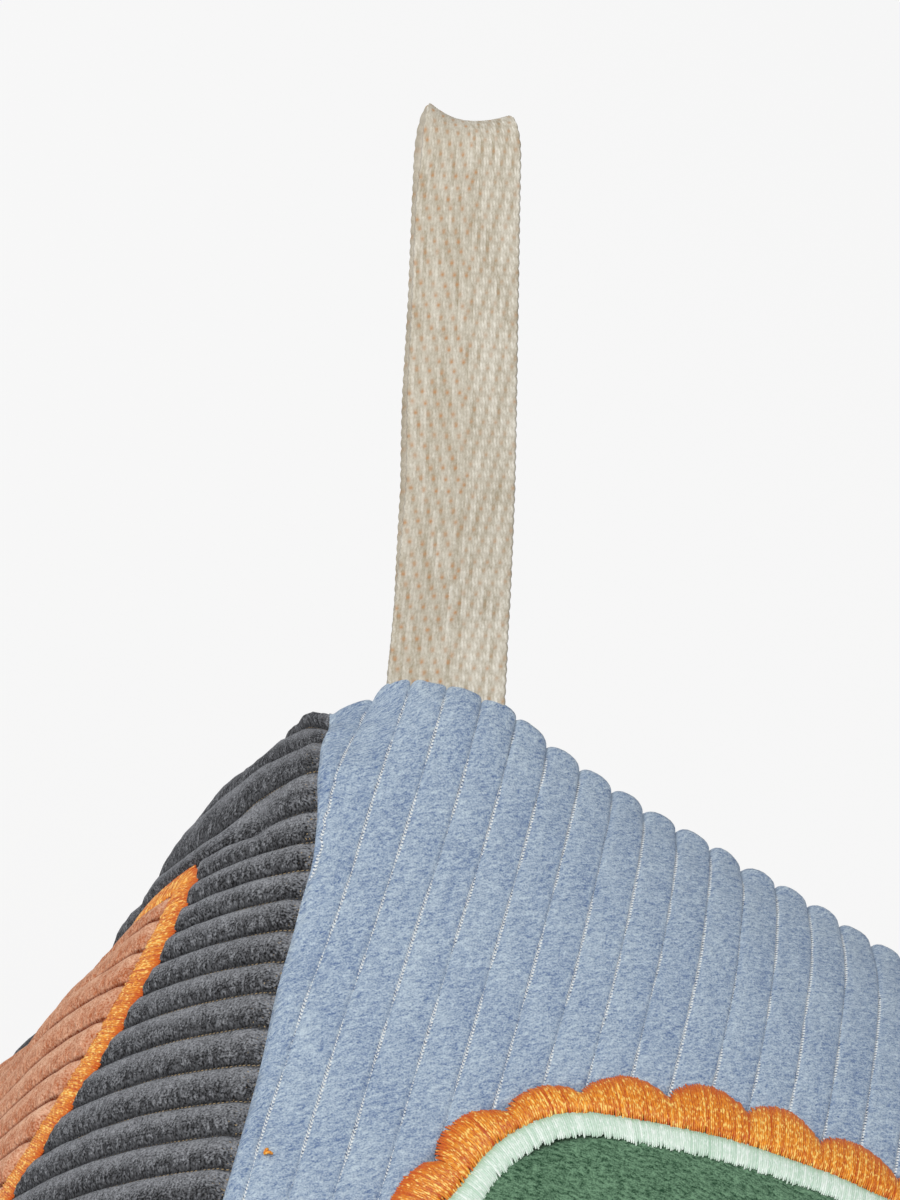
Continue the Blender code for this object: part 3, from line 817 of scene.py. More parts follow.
def leaning_place(stretch):
    """The place with its streaks leaning and stretched across the rib."""
    inputs = {"X": across * stretch, "Y": leaning, "Z": deep}
    return Signal(pile, add(pile, "CombineXYZ", inputs).outputs[0])


# Cut ends show as streaks, clumps, grains and a slow mottling, each a noise of its own size
streak = leaning_place(given["Length"]).noise(given["Fineness"] * 2900.0, 2.5, 0.70)
clump = leaning_place(0.75).noise(1250.0, 2.0, 0.6)
grain = place.noise(5000.0, 1.0, 0.5)
patchy = place.noise(150.0, 2.0, 0.5)
tone = (streak - 0.5) * given["Streaks"] + (clump - 0.5) * given["Clumps"]
# One flank of each rib is painted lighter and the other darker, as light from above falls on them
tone = tone + (grain - 0.5) * given["Grain"] + (patchy - 0.5) * 0.40 + side * given["Flank shading"]
coat = (tone + 0.5).mix(given["Dark"], given["Light"])
# The pile beside a gap stands in shade
in_groove = 1.0 - gap.ramp(0.0001, given["Groove to"])
# The tufts stand a little apart, most of all on the steep lower flank of a rib, and the crevices between
# them are painted dark, as shade
flank = gap.ramp(0.0021, 0.0006) * side.ramp(0.7, -0.3)
apart = place.noise(1900.0, 0.0, stretch=(0.50, 1.0, 1.0)).ramp(0.53, 0.43)
apart = apart * (flank * 0.75 + 0.25) * given["Tufts"]
coat = (in_groove * given["Groove"]).larger(apart).mix(coat, given["Gap shade"])
# The woven base shows in a gap as a row of slanted threads, and fades out here and there
phase = across * (math.tau / 0.00066) + along * (math.tau / 0.00040)
thread = phase.maths("SINE", phase).ramp(-0.45, 0.30) * streak.ramp(0.34, 0.44)
# The pale threads are painted on the lit side of a gap only, as light that reaches the base there
lit = side.ramp(given["Lit from"], given["Lit from"] + 0.08)
# Between the pale threads the gap is painted dark in spots, as shade in its pits
pits = grain.ramp(0.38, 0.52).mix(given["Gap shade"], coat)
base = (thread * lit).mix(pits, given["Gap light"])
fading = place.noise(230.0, 1.5, stretch=(1.0, 0.6, 1.0)).ramp(0.38, 0.56)
width = given["Gap width"] * (fading * 0.92 + 0.08)
in_pile = (gap + (grain - 0.5) * 0.00016).ramp(width * 0.75, width * 1.25)
shade = in_pile.larger(frayed * given["Cover"]).mix(base, coat)
# Along a frayed edge the grooves are painted lighter, as light over their shade, and pale ends of the
# base stick out
painted_groove_light = in_groove * frayed * (given["Cover"] * 0.12)
shade = painted_groove_light.mix(shade, given["Light"])
loose = place.noise(3900.0, 1.0) - (0.86 - frayed * given["Specks"])
shade = loose.ramp(-0.02, 0.03).mix(shade, given["Gap light"])
height = streak * 0.8 + grain * 0.5 - apart * 1.2 + clump * 1.2
pile.links.new(shade.socket, out["Color"])
pile.links.new(height.socket, out["Height"])
print("shader group made:", pile.name, "with", len(pile.nodes), "nodes")


# %% Corduroy and velvet materials
def pile_look(name, light, dark, gap_light, gap_shade, sheen, settings, bump):
    """A pile material, with the sheen of cut pile as a weight and a tint."""
    colours = {"Light": light, "Dark": dark, "Gap light": gap_light, "Gap shade": gap_shade}
    finish = {
        "Roughness": 0.92, "Specular IOR Level": 0.15,
        "Sheen Weight": sheen[0], "Sheen Roughness": 0.45, "Sheen Tint": sheen[1],
    }
    values = ("Gap", "Side", "Frayed")
    return group_look(name, pile, values, {**colours, **settings}, (bump, 0.00035), finish)


blue = pile_look(
    "blue corduroy", colour(196, 211, 222), colour(98, 121, 160),
    colour(240, 242, 240), colour(72, 88, 116), (0.20, colour(205, 218, 230)),
    {
        "Streaks": 1.7, "Clumps": 1.1, "Grain": 1.3, "Length": 0.66, "Fineness": 1.05,
        "Flank shading": 0.05, "Shear": -0.6, "Groove": 0.0, "Gap width": 0.00017,
        "Lit from": -1.1, "Cover": 2.5, "Specks": 0.0,
    },
    bump=0.5,
)
charcoal = pile_look(
    "charcoal corduroy", colour(162, 164, 169), colour(40, 40, 42),
    colour(176, 152, 112), colour(14, 13, 13), (0.20, colour(170, 174, 184)),
    {
        "Streaks": 1.5, "Clumps": 0.9, "Grain": 2.0, "Length": 0.85, "Fineness": 1.6,
        "Flank shading": 0.20, "Groove": 0.80, "Groove to": 0.0007, "Gap width": 0.00013,
        "Specks": 0.20, "Tufts": 0.60,
    },
    bump=1.0,
)
peach = pile_look(
    "peach corduroy", colour(248, 200, 168), colour(186, 104, 62),
    colour(206, 112, 50), colour(112, 42, 10), (0.18, colour(240, 205, 180)),
    {
        "Streaks": 1.2, "Clumps": 1.2, "Grain": 1.6, "Length": 0.8, "Fineness": 1.3,
        "Flank shading": 0.14, "Groove": 0.85, "Groove to": 0.00045, "Gap width": 0.00024,
        "Specks": 0.0, "Tufts": 0.22,
    },
    bump=0.9,
)
velvet = pile_look(
    "green velvet", colour(120, 157, 126), colour(32, 66, 44), grey(0.3), grey(0.1),
    (0.35, colour(160, 195, 170)), {"Streaks": 2.6, "Clumps": 0.9, "Grain": 1.3}, bump=0.6,
)
print("pile materials:", [look.name for look in (blue, charcoal, peach, velvet)])

# %% The six panels
# A cloth's material, how knobby its ribs are, and their style: how square a rib is, how
# high its gaps lie, and the share of the rib that a gap takes
CLOTHS = {
    "blue": (blue, 0.03, (8.0, 0.55, 0.02)),
    "charcoal": (charcoal, 0.14, (2.4, 0.0, 0.12)),
    "peach": (peach, 0.07, (3.2, 0.0, 0.06)),
}
CLOSE_ROWS = 0.68 * MM
PLAIN_ROWS = 0.95 * MM
PANELS = {
    "top": ("blue", even_gaps(4.15 * MM), CLOSE_ROWS),
    "left": ("charcoal", corner_gaps(), CLOSE_ROWS),
    "back": ("peach", even_gaps(3.10 * MM), PLAIN_ROWS),
    "right": ("charcoal", even_gaps(2.60 * MM), PLAIN_ROWS),
    "front": ("peach", even_gaps(3.60 * MM), PLAIN_ROWS),
    "base": ("blue", even_gaps(2.90 * MM), PLAIN_ROWS),
}
for number, (face, (cloth, gaps, spacing)) in enumerate(PANELS.items()):
    look, knobs, style = CLOTHS[cloth]
    panel = panel_piece(face, look, gaps, knobs, 20 + 7 * number, spacing, style)
    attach(panel, "block")
    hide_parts(face + "_panel")
    cloth + "_corduroy"
    print(panel.name, len(panel.data.polygons), "faces")

# %% [markdown]
# ## The stuffing
# Inside is loose fibre. Nothing of it shows, but a closed body of fibre just under the
# cloth keeps light from passing through the seams, as the real filling does.

# %% A closed body under the panels
FIBRE_DEPTH = 2.7 * MM
fibre, tree, shader = new_look("white fibre")
tufts = Signal(tree, add(tree, "TexCoord").outputs["Object"]).noise(160.0, 4.0)
white = tufts.mix(colour(206, 203, 196), colour(240, 238, 232))
dress(tree, shader, white, tufts, (0.8, 0.002), {"Roughness": 0.95})

shares = np.sin(np.linspace(-1, 1, 41) * math.pi / 2)
across, up = np.meshgrid(shares, shares, indexing="ij")
points, faces = [], []
for face in FACES:
    ids = np.arange(across.size).reshape(across.shape) + len(points) * across.size
    points.append(face_point(face, across, up, -FIBRE_DEPTH).reshape(-1, 3))
    faces += grid_faces(ids)
stuffing = mesh_piece("stuffing", np.concatenate(points), faces, fibre)
weld = stuffing.modifiers.new("weld", "WELD")
weld.merge_threshold = 0.05 * MM
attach(stuffing, "block")
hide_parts("filling")
print("stuffing:", len(faces), "faces")

# %% [markdown]
# ## Outlines of the patches
# The patches are cut to simple outlines. The large one is a superellipse, which is an
# ellipse with fuller corners, and the one on the charcoal panel is half an ellipse. Each
# outline is a formula, and its points are then spaced evenly, so that the stitches round
# it are all the same distance apart.

# %% Outline helpers
def superellipse(half_length, half_width, round_share, count=1440):
    """An ellipse at a round share of 1, squarer as the share falls."""
    turn = np.linspace(0, math.tau, count, endpoint=False)
    cosine, sine = np.cos(turn), np.sin(turn)
    across = half_length * np.sign(cosine) * np.abs(cosine) ** round_share
    up = half_width * np.sign(sine) * np.abs(sine) ** round_share
    return np.stack((across, up), axis=1)


def run_along(line):
    """The distance run along a line of points at each of them."""
    return np.concatenate(((0.0,), np.cumsum(np.linalg.norm(np.diff(line, axis=0), axis=1))))


def at_runs(wanted, run, line):
    """The points of a line at the wanted runs."""
    return np.stack([np.interp(wanted, run, line[:, k]) for k in (0, 1)], axis=1)


def evenly(outline, count):
    """The closed outline with its points at equal distances."""
    closed = np.concatenate((outline, outline[:1]))
    run = run_along(closed)
    return at_runs(np.arange(count) / count * run[-1], run, closed)


def outward(outline):
    """Unit normals that point out of an outline that runs anticlockwise."""
    along = np.roll(outline, -1, axis=0) - np.roll(outline, 1, axis=0)
    return unit(np.stack((along[:, 1], -along[:, 0]), axis=1))


def length_of(outline):
    """Length of a closed outline."""
    return np.linalg.norm(outline - np.roll(outline, 1, axis=0), axis=1).sum()


# %% [markdown]
# ## Satin stitch
# A satin border is one thread that goes back and forth across the band, so close that no
# cloth shows. Each stitch here is a small raised strip with its own end points, because
# the slightly ragged ends and the light along each thread are what make it look sewn.
# Glints and shade along the threads are partly painted into their colour.

# %% The thread group and its materials
twist, given, out = group_of(
    "shiny thread",
    {
        "Place": None,
        "Tone": 0.5,
        "Reach": 0.0,
        "Uneven": 2.0,
        "Shine": 0.8,
        "Light": grey(0.6),
        "Dark": grey(0.4),
        "Outer": grey(0.3),
        "Glint": grey(0.9),
    },
    {"Color": "Color", "Height": "Float"},
)
strands = given["Place"].noise(6000.0, 2.0, 0.6, stretch=(1.0, 0.30, 1.0))
tone = (strands - 0.5) * given["Uneven"] + given["Tone"]
# Towards the outer end of a stitch, where the band's dome turns down, the thread is painted darker, as
# shade
outer_shade = given["Reach"].ramp(0.55, 1.0) * 0.80
spun = outer_shade.mix(tone.mix(given["Dark"], given["Light"]), given["Outer"])
# Painted highlights: short glints along the strands, in the Glint colour
sparkle = given["Place"].noise(4000.0, 1.0, 0.5, stretch=(1.0, 0.42, 1.0))
catch = outer_shade * -0.12 + given["Tone"] * 0.25 + sparkle
spun = (catch.ramp(0.62, 0.80) * given["Shine"]).mix(spun, given["Glint"])
twist.links.new(spun.socket, out["Color"])
twist.links.new(strands.socket, out["Height"])
print("shader group made:", twist.name, "with", len(twist.nodes), "nodes")


def thread_look(name, light, dark, outer, glint, roughness, sheen_tint, uneven=2.0, shine=0.8):
    """Thread with a soft gloss along its strands, and painted glints and shade in its colour."""
    settings = {
        "Light": light, "Dark": dark, "Outer": outer, "Glint": glint, "Uneven": uneven, "Shine": shine,
    }
    finish = {
        "Roughness": roughness, "Specular IOR Level": 0.5, "Sheen Weight": 0.08, "Sheen Tint": sheen_tint,
    }
    return group_look(name, twist, ("Tone", "Reach"), settings, (0.5, 0.00008), finish)


orange = thread_look(
    "orange thread", colour(255, 172, 40), colour(190, 72, 0), colour(206, 84, 0),
    colour(255, 216, 120), 0.42, colour(255, 196, 110), uneven=2.2, shine=1.0,
)
mint = thread_look(
    "mint thread", colour(236, 246, 238), colour(176, 208, 184), colour(158, 194, 160),
    colour(252, 255, 252), 0.5, colour(235, 245, 235), uneven=1.0, shine=0.5,
)
natural = thread_look(
    "sewing thread", colour(214, 206, 188), colour(168, 158, 138), colour(168, 158, 138),
    colour(232, 226, 210), 0.6, colour(240, 235, 220),
)

# %% A band of satin stitches
STITCH = 0.25 * MM
THREAD_STEPS = np.linspace(0, 1, 9)
THREAD_SIDES = np.array((-1.0, -0.5, 0.0, 0.5, 1.0))
THREAD_RISE = 0.12 * MM
THREAD_SPANS = (0.16 * MM, 0.6 * MM)
# A thread's half width as a share of its distance to the next one, and how it thins out
# over the last part of its length
THREAD_FILL = 0.66
THREAD_END = (0.45, 0.08)


def satin_band(name, face, inner, outer, look, seed, levels, ragged=0.12 * MM, groove=0.45):
    """Threads laid side by side from the inner points to the outer points of a band.

    The levels are the band's heights at its inner edge and outer edge, and its crown.
    """
    random = np.random.default_rng(seed)
    count = len(inner)
    run = outer - inner
    width = np.linalg.norm(run, axis=1)
    direction = run / width[:, None]
    starts = inner - direction * random.normal(0, ragged, count)[:, None]
    ends = outer + direction * random.normal(0, ragged * 0.45, count)[:, None]
    spans = []
    for line in (inner, outer):
        span = np.linalg.norm(np.roll(line, -1, axis=0) - np.roll(line, 1, axis=0), axis=1) / 2
        spans.append(np.clip(span, *THREAD_SPANS)[:, None, None])
    side = np.stack((-direction[:, 1], direction[:, 0]), axis=1)
    slip = random.normal(0, 0.12, count)[:, None, None]
    t = THREAD_STEPS[None, :, None]
    c = THREAD_SIDES[None, None, :]
    half = (spans[0] * (1 - t) + spans[1] * t) * THREAD_FILL
    thin, end = THREAD_END
    half = half * (thin + (1 - thin) * np.minimum(1, np.minimum(t, 1 - t) / end) ** 0.5)
    centre = starts[:, None, None, :] * (1 - t[..., None]) + ends[:, None, None, :] * t[..., None]
    places = centre + side[:, None, None, :] * (c * half + slip * half * np.sin(math.pi * t))[..., None]
    low, high, crown = levels
    dome = np.maximum(1 - np.abs(2 * t - 1) ** 2.4, 0) ** 0.7
    lift = low * (1 - t) + high * t + crown * dome
    lift = lift + THREAD_RISE * np.sqrt(np.maximum(1 - c**2, 0))
    lift = lift + random.normal(0, 0.01 * MM, count)[:, None, None]
    points = sheet_points(face, places[..., 0] / HALF, places[..., 1] / HALF, lift)
    steps, sides = len(THREAD_STEPS), len(THREAD_SIDES)
    base = np.arange(count)[:, None, None] * steps * sides
    grid = base + np.arange(steps)[None, :, None] * sides + np.arange(sides)[None, None, :]
    corners = grid[:, :-1, :-1], grid[:, 1:, :-1], grid[:, 1:, 1:], grid[:, :-1, 1:]
    quads = np.stack(corners, axis=-1)
    # Each thread is painted darker towards its two sides, as shade between neighbouring threads
    tone = random.normal(0.55, 0.13, count)[:, None, None] - groove * np.abs(c) ** 2 + 0 * t
    reach = np.broadcast_to(t, lift.shape).ravel()
    each = np.arange(count)[:, None, None] * 0.003
    flat = np.stack(np.broadcast_arrays(c * half, t * width[:, None, None], each), axis=-1)
    values = {"tone": tone.ravel(), "reach": reach}
    faces = quads.reshape(-1, 4).tolist()
    made = mesh_piece(name, points.reshape(-1, 3), faces, look, values, flat.reshape(-1, 3))
    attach(made, "block")
    print(name, count, "stitches")
    return made


# %% [markdown]
# ## The large patch
# Green velvet is sewn on with a pale mint satin line, and round that goes an orange
# border whose outer edge is scalloped. The scallops are a sine's half waves added to the
# border's width, with a cusp between two waves.

# %% Velvet, mint line and scalloped border
VELVET_MARGIN = 1.6 * MM
MINT_WIDTH = 2.55 * MM
MINT_OVERLAP = 0.4 * MM
SWELL_WIDTH = 2.2 * MM
PATCH_ROWS = 0.9 * MM
# How far the hand-guided stitching strays from the plain outline: a share of the way round
# from the right, and a distance outwards in millimetres
HAND_DRIFT_SHARES = np.array((
    (0.250, 0.0), (0.277, -0.8), (0.291, -0.95), (0.311, -1.35), (0.332, -1.4),
    (0.352, -1.3), (0.372, -0.65), (0.388, 0.45), (0.400, 0.95), (0.412, 0.9),
    (0.424, 0.5), (0.438, -0.25), (0.446, -0.6), (0.470, 0.0),
))
# The cusps between scallops: a share of the way round, and a distance outwards in
# millimetres, and then how far the crest after each cusp stands out
CUSPS = np.array((
    (0.2660, 5.4, 7.9), (0.2995, 5.4, 8.2), (0.3282, 5.7, 8.15), (0.3582, 5.25, 7.9),
    (0.3892, 5.75, 7.7), (0.4158, 5.85, 8.2),
    *((share, 5.8, 7.8) for share in np.linspace(0.4429, 1.2660, 29)),
))


def patch_piece(name, face, places, reach, look, node, gaps=None, lift=0.8 * MM, seed=3, knobs=0.07):
    """A patch between low and high reaches, which are functions of the place across.

    It is ribbed if it has gaps, and plain velvet if not.
    """
    low, high = reach(places)
    shares = np.sin(np.linspace(-1, 1, 2 + round((high - low).max() / PATCH_ROWS)) * math.pi / 2)
    across = np.repeat(places[:, None], len(shares), axis=1)
    up = (low + high)[:, None] / 2 + (high - low)[:, None] / 2 * shares[None, :]
    ids = np.arange(across.size).reshape(across.shape)
    from_ends = np.minimum(across - places[0], places[-1] - across)
    edge = np.minimum((high - low)[:, None] / 2 * (1 - np.abs(shares)), from_ends)
    swell = ease(edge / SWELL_WIDTH)
    share = np.full(across.shape, 0.5) if gaps is None else wale_share(across, gaps)
    if gaps is None:
        relief = 0.12 * MM * noise(across / (1.1 * MM), up / (1.6 * MM), seed)
        gap = np.full(across.size, 1.0)
    else:
        relief = wale_relief(across, up, gaps, seed, knobs)
        gap = (np.minimum(share, 1 - share) * WALE).ravel()
    height = lift * (0.45 + 0.55 * swell) + relief * swell
    points = sheet_points(face, across / HALF, up / HALF, height).reshape(-1, 3)
    lowered = sheet_points(face, across / HALF, up / HALF, np.zeros_like(up)).reshape(-1, 3)
    flat = np.stack((across.ravel(), up.ravel(), np.full(across.size, seed * 0.01)), axis=1)
    values = {"gap": gap, "side": np.sin(math.tau * share).ravel()}
    made = hemmed_piece(name, points, lowered, ids, look, values, flat)
    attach(made, "block")
    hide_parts(node)
    area = float(((high - low)[1:] + (high - low)[:-1]) @ np.diff(places) / 2)
    size = (float(places[-1] - places[0]), float((high - low).max()))
    print(name, len(made.data.polygons), "faces")


def mirrored_reach(half_length, half_width, round_share):
    """Low and high edges of a superellipse."""
    def reach(places):
        share = np.clip(np.abs(places) / half_length, 0, 1)
        high = half_width * (1 - share ** (2 / round_share)) ** (round_share / 2)
        return -high, high
    return reach


places = np.sin(np.linspace(-1, 1, 118) * math.pi / 2) * (PATCH_LENGTH + VELVET_MARGIN)
reach = mirrored_reach(PATCH_LENGTH + VELVET_MARGIN, PATCH_WIDTH + VELVET_MARGIN, PATCH_ROUND_SHARE)
patch_piece(
    "velvet_shape", "top", places, reach, velvet, "velvet_patch",
    lift=1.25 * MM, seed=31,
)

outline = superellipse(PATCH_LENGTH, PATCH_WIDTH, PATCH_ROUND_SHARE)
count = round(length_of(outline) / STITCH * 1.08)
edge = evenly(outline, count)
normals = outward(edge)
round_share = np.arange(count) / count
drift = np.interp(round_share, HAND_DRIFT_SHARES[:, 0], HAND_DRIFT_SHARES[:, 1] * MM, left=0.0, right=0.0)
inner = edge + normals * drift[:, None]
outer = inner + normals * (MINT_WIDTH + MINT_OVERLAP)
levels = 1.25 * MM, 1.30 * MM, 0.40 * MM
made = satin_band("mint_satin_line", "top", inner, outer, mint, 41, levels, 0.12 * MM, 0.20)
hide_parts("mint_outline")

turn = np.where(round_share < CUSPS[0, 0], round_share + 1, round_share)
scallop = np.clip(np.searchsorted(CUSPS[:, 0], turn, side="right") - 1, 0, len(CUSPS) - 2)
within = (turn - CUSPS[scallop, 0]) / (CUSPS[scallop + 1, 0] - CUSPS[scallop, 0])
wave = np.sin(math.pi * np.clip(within, 0, 1)) ** 0.6
low = CUSPS[scallop, 1] * (1 - within) + CUSPS[scallop + 1, 1] * within
outer = edge + normals * ((low + (CUSPS[scallop, 2] - low) * wave) * MM)[:, None]
inner = inner + normals * MINT_WIDTH
levels = 1.40 * MM, 0.65 * MM, 0.75 * MM
made = satin_band("orange_scalloped_satin", "top", inner, outer, orange, 43, levels, 0.15 * MM)
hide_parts("scalloped_border")
print("scallops:", len(CUSPS) - 1)

# %% [markdown]
# ## The half-round patch
# On the charcoal panel a patch of peach corduroy has its ribs the same way as the panel,
# a straight side near the back seam, and a plain orange satin border. Only its corner
# shows in the photograph, so the rest of its outline is a simple half ellipse.

# %% Peach half round with its border
def half_round():
    """Outline of the half ellipse."""
    turn = np.linspace(-math.pi / 2, math.pi / 2, 900)
    across = HALF_EDGE + HALF_WIDTH * np.cos(turn)
    up = HALF_HEIGHT / 2 * np.sin(turn)
    straight = np.linspace(HALF_HEIGHT / 2, -HALF_HEIGHT / 2, 700)[1:-1]
    side = np.stack((np.full_like(straight, HALF_EDGE), straight), axis=1)
    return np.concatenate((np.stack((across, up), axis=1), side))


def half_reach(places):
    """Low and high edges of the half ellipse."""
    share = np.clip((places - HALF_EDGE) / HALF_WIDTH, 0, 1)
    high = HALF_HEIGHT / 2 * np.sqrt(1 - share**2)
    return -high, high


SATIN_OVERLAP = 0.25
FINE_POINTS = 6000


def bordered(name, face, outline, look, seed, node, levels=(0.95 * MM, 0.55 * MM, 0.5 * MM)):
    """A plain satin border round an outline, with its threads evenly spaced at their outer ends."""
    fine = evenly(outline, FINE_POINTS)
    beyond = fine + outward(fine) * SATIN_WIDTH
    beyond = np.concatenate((beyond, beyond[:1]))
    fine = np.concatenate((fine, fine[:1]))
    run = run_along(beyond)
    wanted = np.arange(round(run[-1] / STITCH)) * STITCH
    inner, outer = at_runs(wanted, run, fine), at_runs(wanted, run, beyond)
    made = satin_band(name, face, inner + (inner - outer) * SATIN_OVERLAP, outer, look, seed, levels)
    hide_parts(node)


gaps = even_gaps(1.3 * MM)
places = wale_columns(HALF_EDGE, HALF_EDGE + HALF_WIDTH, gaps)
patch_piece(
    "peach_half_round", "left", places, half_reach, peach, "half_round_patch",
    gaps, 0.35 * MM, seed=51,
)
bordered(
    "orange_half_round_satin", "left", half_round(), orange, 53, "half_round_border",
    (0.45 * MM, 0.15 * MM, 0.25 * MM),
)

# %% [markdown]
# ## Patches on the sides that don't show
# The photograph shows two of the six panels. The others carry plain shapes in the same
# cloths and threads: a round, a rounded square and a petal.

# %% Round, square and petal patches
gaps = even_gaps(0.9 * MM)
places = wale_columns(-ROUND, ROUND, gaps)
reach = mirrored_reach(ROUND, ROUND, 1.0)
patch_piece(
    "blue_round", "front", places, reach, blue, "round_patch",
    gaps, seed=61, knobs=0.05,
)
outline = superellipse(ROUND, ROUND, 1.0)
bordered("mint_round_satin", "front", outline, mint, 63, "round_border")

places = np.sin(np.linspace(-1, 1, 90) * math.pi / 2) * SQUARE
reach = mirrored_reach(SQUARE, SQUARE, SQUARE_ROUND_SHARE)
patch_piece(
    "velvet_square", "right", places, reach, velvet, "square_patch",
    lift=0.95 * MM, seed=71,
)
outline = superellipse(SQUARE, SQUARE, SQUARE_ROUND_SHARE)
bordered("mint_square_satin", "right", outline, mint, 73, "square_border")

turn = np.linspace(0, math.tau, 1440, endpoint=False)
upper = np.maximum(np.sin(turn), 0)
petal = PETAL * np.stack((
    np.cos(turn) * (1 - PETAL_POINT_SHARE * upper), np.sin(turn) * (1 + PETAL_POINT_SHARE * upper**6),
), axis=1)
half_way = len(petal) // 2


def petal_reach(places):
    """Low and high edges of the petal."""
    top = petal[half_way::-1]
    bottom = np.concatenate((petal[half_way:], petal[:1]))
    return np.interp(places, bottom[:, 0], bottom[:, 1]), np.interp(places, top[:, 0], top[:, 1])


gaps = even_gaps(1.7 * MM)
places = wale_columns(-PETAL, PETAL, gaps)
patch_piece(
    "charcoal_petal", "back", places, petal_reach, charcoal, "petal_patch",
    gaps, seed=81, knobs=0.10,
)
bordered("orange_petal_satin", "back", petal, orange, 83, "petal_border")

# %% [markdown]
# ## The hanging loop
# The loop is one length of natural herringbone tape, folded over and sewn into the seam
# with both ends. Its weave is coarse enough to see each yarn, so it is modelled as a fine
# grid of points that is raised where a lengthwise yarn lies on top. Three crosswise yarns
# pass under and one passes over, one step further on each neighbour, and that makes the
# slanted lines that meet in the middle.

# %% Where the loop stands
LOOP_PLACE = 12.0 * MM
LOOP_LEAN = math.radians(3.5)
LOOP_GAP = 7.5 * MM
TAPE_WIDTH = 12.4 * MM
TAPE_HALF_THICK = 0.42 * MM
HINGE_RISE = 1.4 * MM
ARCH_HEIGHT = 54.9 * MM
SEWN_DEPTH = 8.0 * MM

share = LOOP_PLACE / HALF - 1
step = TAPE_WIDTH / HALF / 2
loop_root = face_point("top", np.array(share), np.array(1.0))
straight_out = unit(loop_root - np.array(CENTRE))
ends = face_point("top", np.array((share - step, share + step)), np.array(1.0))
seam_run = ends[1] - ends[0]
seam_run = unit(seam_run - straight_out * (seam_run @ straight_out))
tape_up = straight_out * math.cos(LOOP_LEAN) + seam_run * math.sin(LOOP_LEAN)
tape_across = seam_run * math.cos(LOOP_LEAN) - straight_out * math.sin(LOOP_LEAN)
tape_away = np.cross(tape_up, tape_across)
hinge_place = loop_root + tape_up * HINGE_RISE
print("loop stands at", hinge_place.round(4), "and runs towards", tape_up.round(3))

# %% The path of the tape, and its two edges
# Height, then left and right edge of the front ply and of the rear ply, in millimetres
TAPE_EDGES = np.array((
    (-9, -6.0, 6.6, -6.0, 6.6), (0, -6.0, 6.8, -5.9, 6.6), (8, -5.5, 6.9, -5.2, 6.5),
    (20, -4.95, 6.8, -4.3, 6.7), (30, -5.2, 6.6, -4.2, 6.6), (40, -5.0, 6.45, -3.9, 6.6),
    (50, -4.9, 6.3, -3.8, 6.5), (56, -4.6, 6.2, -3.5, 6.4),
)) * MM
FOLD_EDGES = (-2.9 * MM, 5.8 * MM)
FOLD_RISE = (1.85 * MM, 0.85 * MM)
FOLD_SPREAD = 3.4 * MM
ROW = 0.25 * MM


def loop_gap(height):
    """Distance between the two plies: none at the root, then opening smoothly."""
    return LOOP_GAP * np.sin(math.pi / 2 * np.clip((height - 5 * MM) / (26 * MM), 0, 1))


heights = np.linspace(-SEWN_DEPTH, ARCH_HEIGHT, 400)
front_line = np.stack((-TAPE_HALF_THICK - 0.25 * loop_gap(heights), heights), axis=1)
rear_line = np.stack((TAPE_HALF_THICK + 0.75 * loop_gap(heights), heights), axis=1)
middle = (front_line[-1, 0] + rear_line[-1, 0]) / 2
radius = (rear_line[-1, 0] - front_line[-1, 0]) / 2
turn = np.linspace(0, math.pi, 120)[1:-1]
arch = np.stack((middle - radius * np.cos(turn), ARCH_HEIGHT + radius * np.sin(turn)), axis=1)
line = np.concatenate((front_line, arch, rear_line[::-1]))
run = run_along(line)
rows = np.linspace(0, run[-1], round(run[-1] / ROW) + 1)
away = np.interp(rows, run, line[:, 0])
height = np.interp(rows, run, line[:, 1])
from_top = rows - run[-1] / 2
front_share = ease(0.5 - from_top / (2 * math.pi * radius))
edges = [np.interp(height, TAPE_EDGES[:, 0], TAPE_EDGES[:, k]) for k in range(1, 5)]
left = edges[0] * front_share + edges[2] * (1 - front_share)
right = edges[1] * front_share + edges[3] * (1 - front_share)
near_top = np.clip(1 - np.abs(from_top) / (math.pi * radius / 2), 0, 1) ** 2.2
left = left + (FOLD_EDGES[0] - left) * near_top
right = right + (FOLD_EDGES[1] - right) * near_top

# %% The weave
WARP = 0.35 * MM
WEFT = 1.15 * MM
WARPS = round(TAPE_WIDTH / WARP)
# The twill repeats after four crosswise yarns; 200 repeats are more than the tape has
REPEAT = 4
REPEATS = 200
# Sizes of what shows of a crosswise yarn, of its dark core and of the dip beside it
SPOT = 0.27 * MM
CORE = (0.13 * MM, 0.10 * MM)
CORE_SHIFT = 0.08 * MM
DIP = 0.45 * MM
TWIST = 0.55 * MM
# A lengthwise yarn shows slanted strokes, painted highlights that also raise it a little: width, length
# and slant, and how soon they fade
STROKE = (0.36, 0.42, 0.9)
STROKE_FADE = 1.25


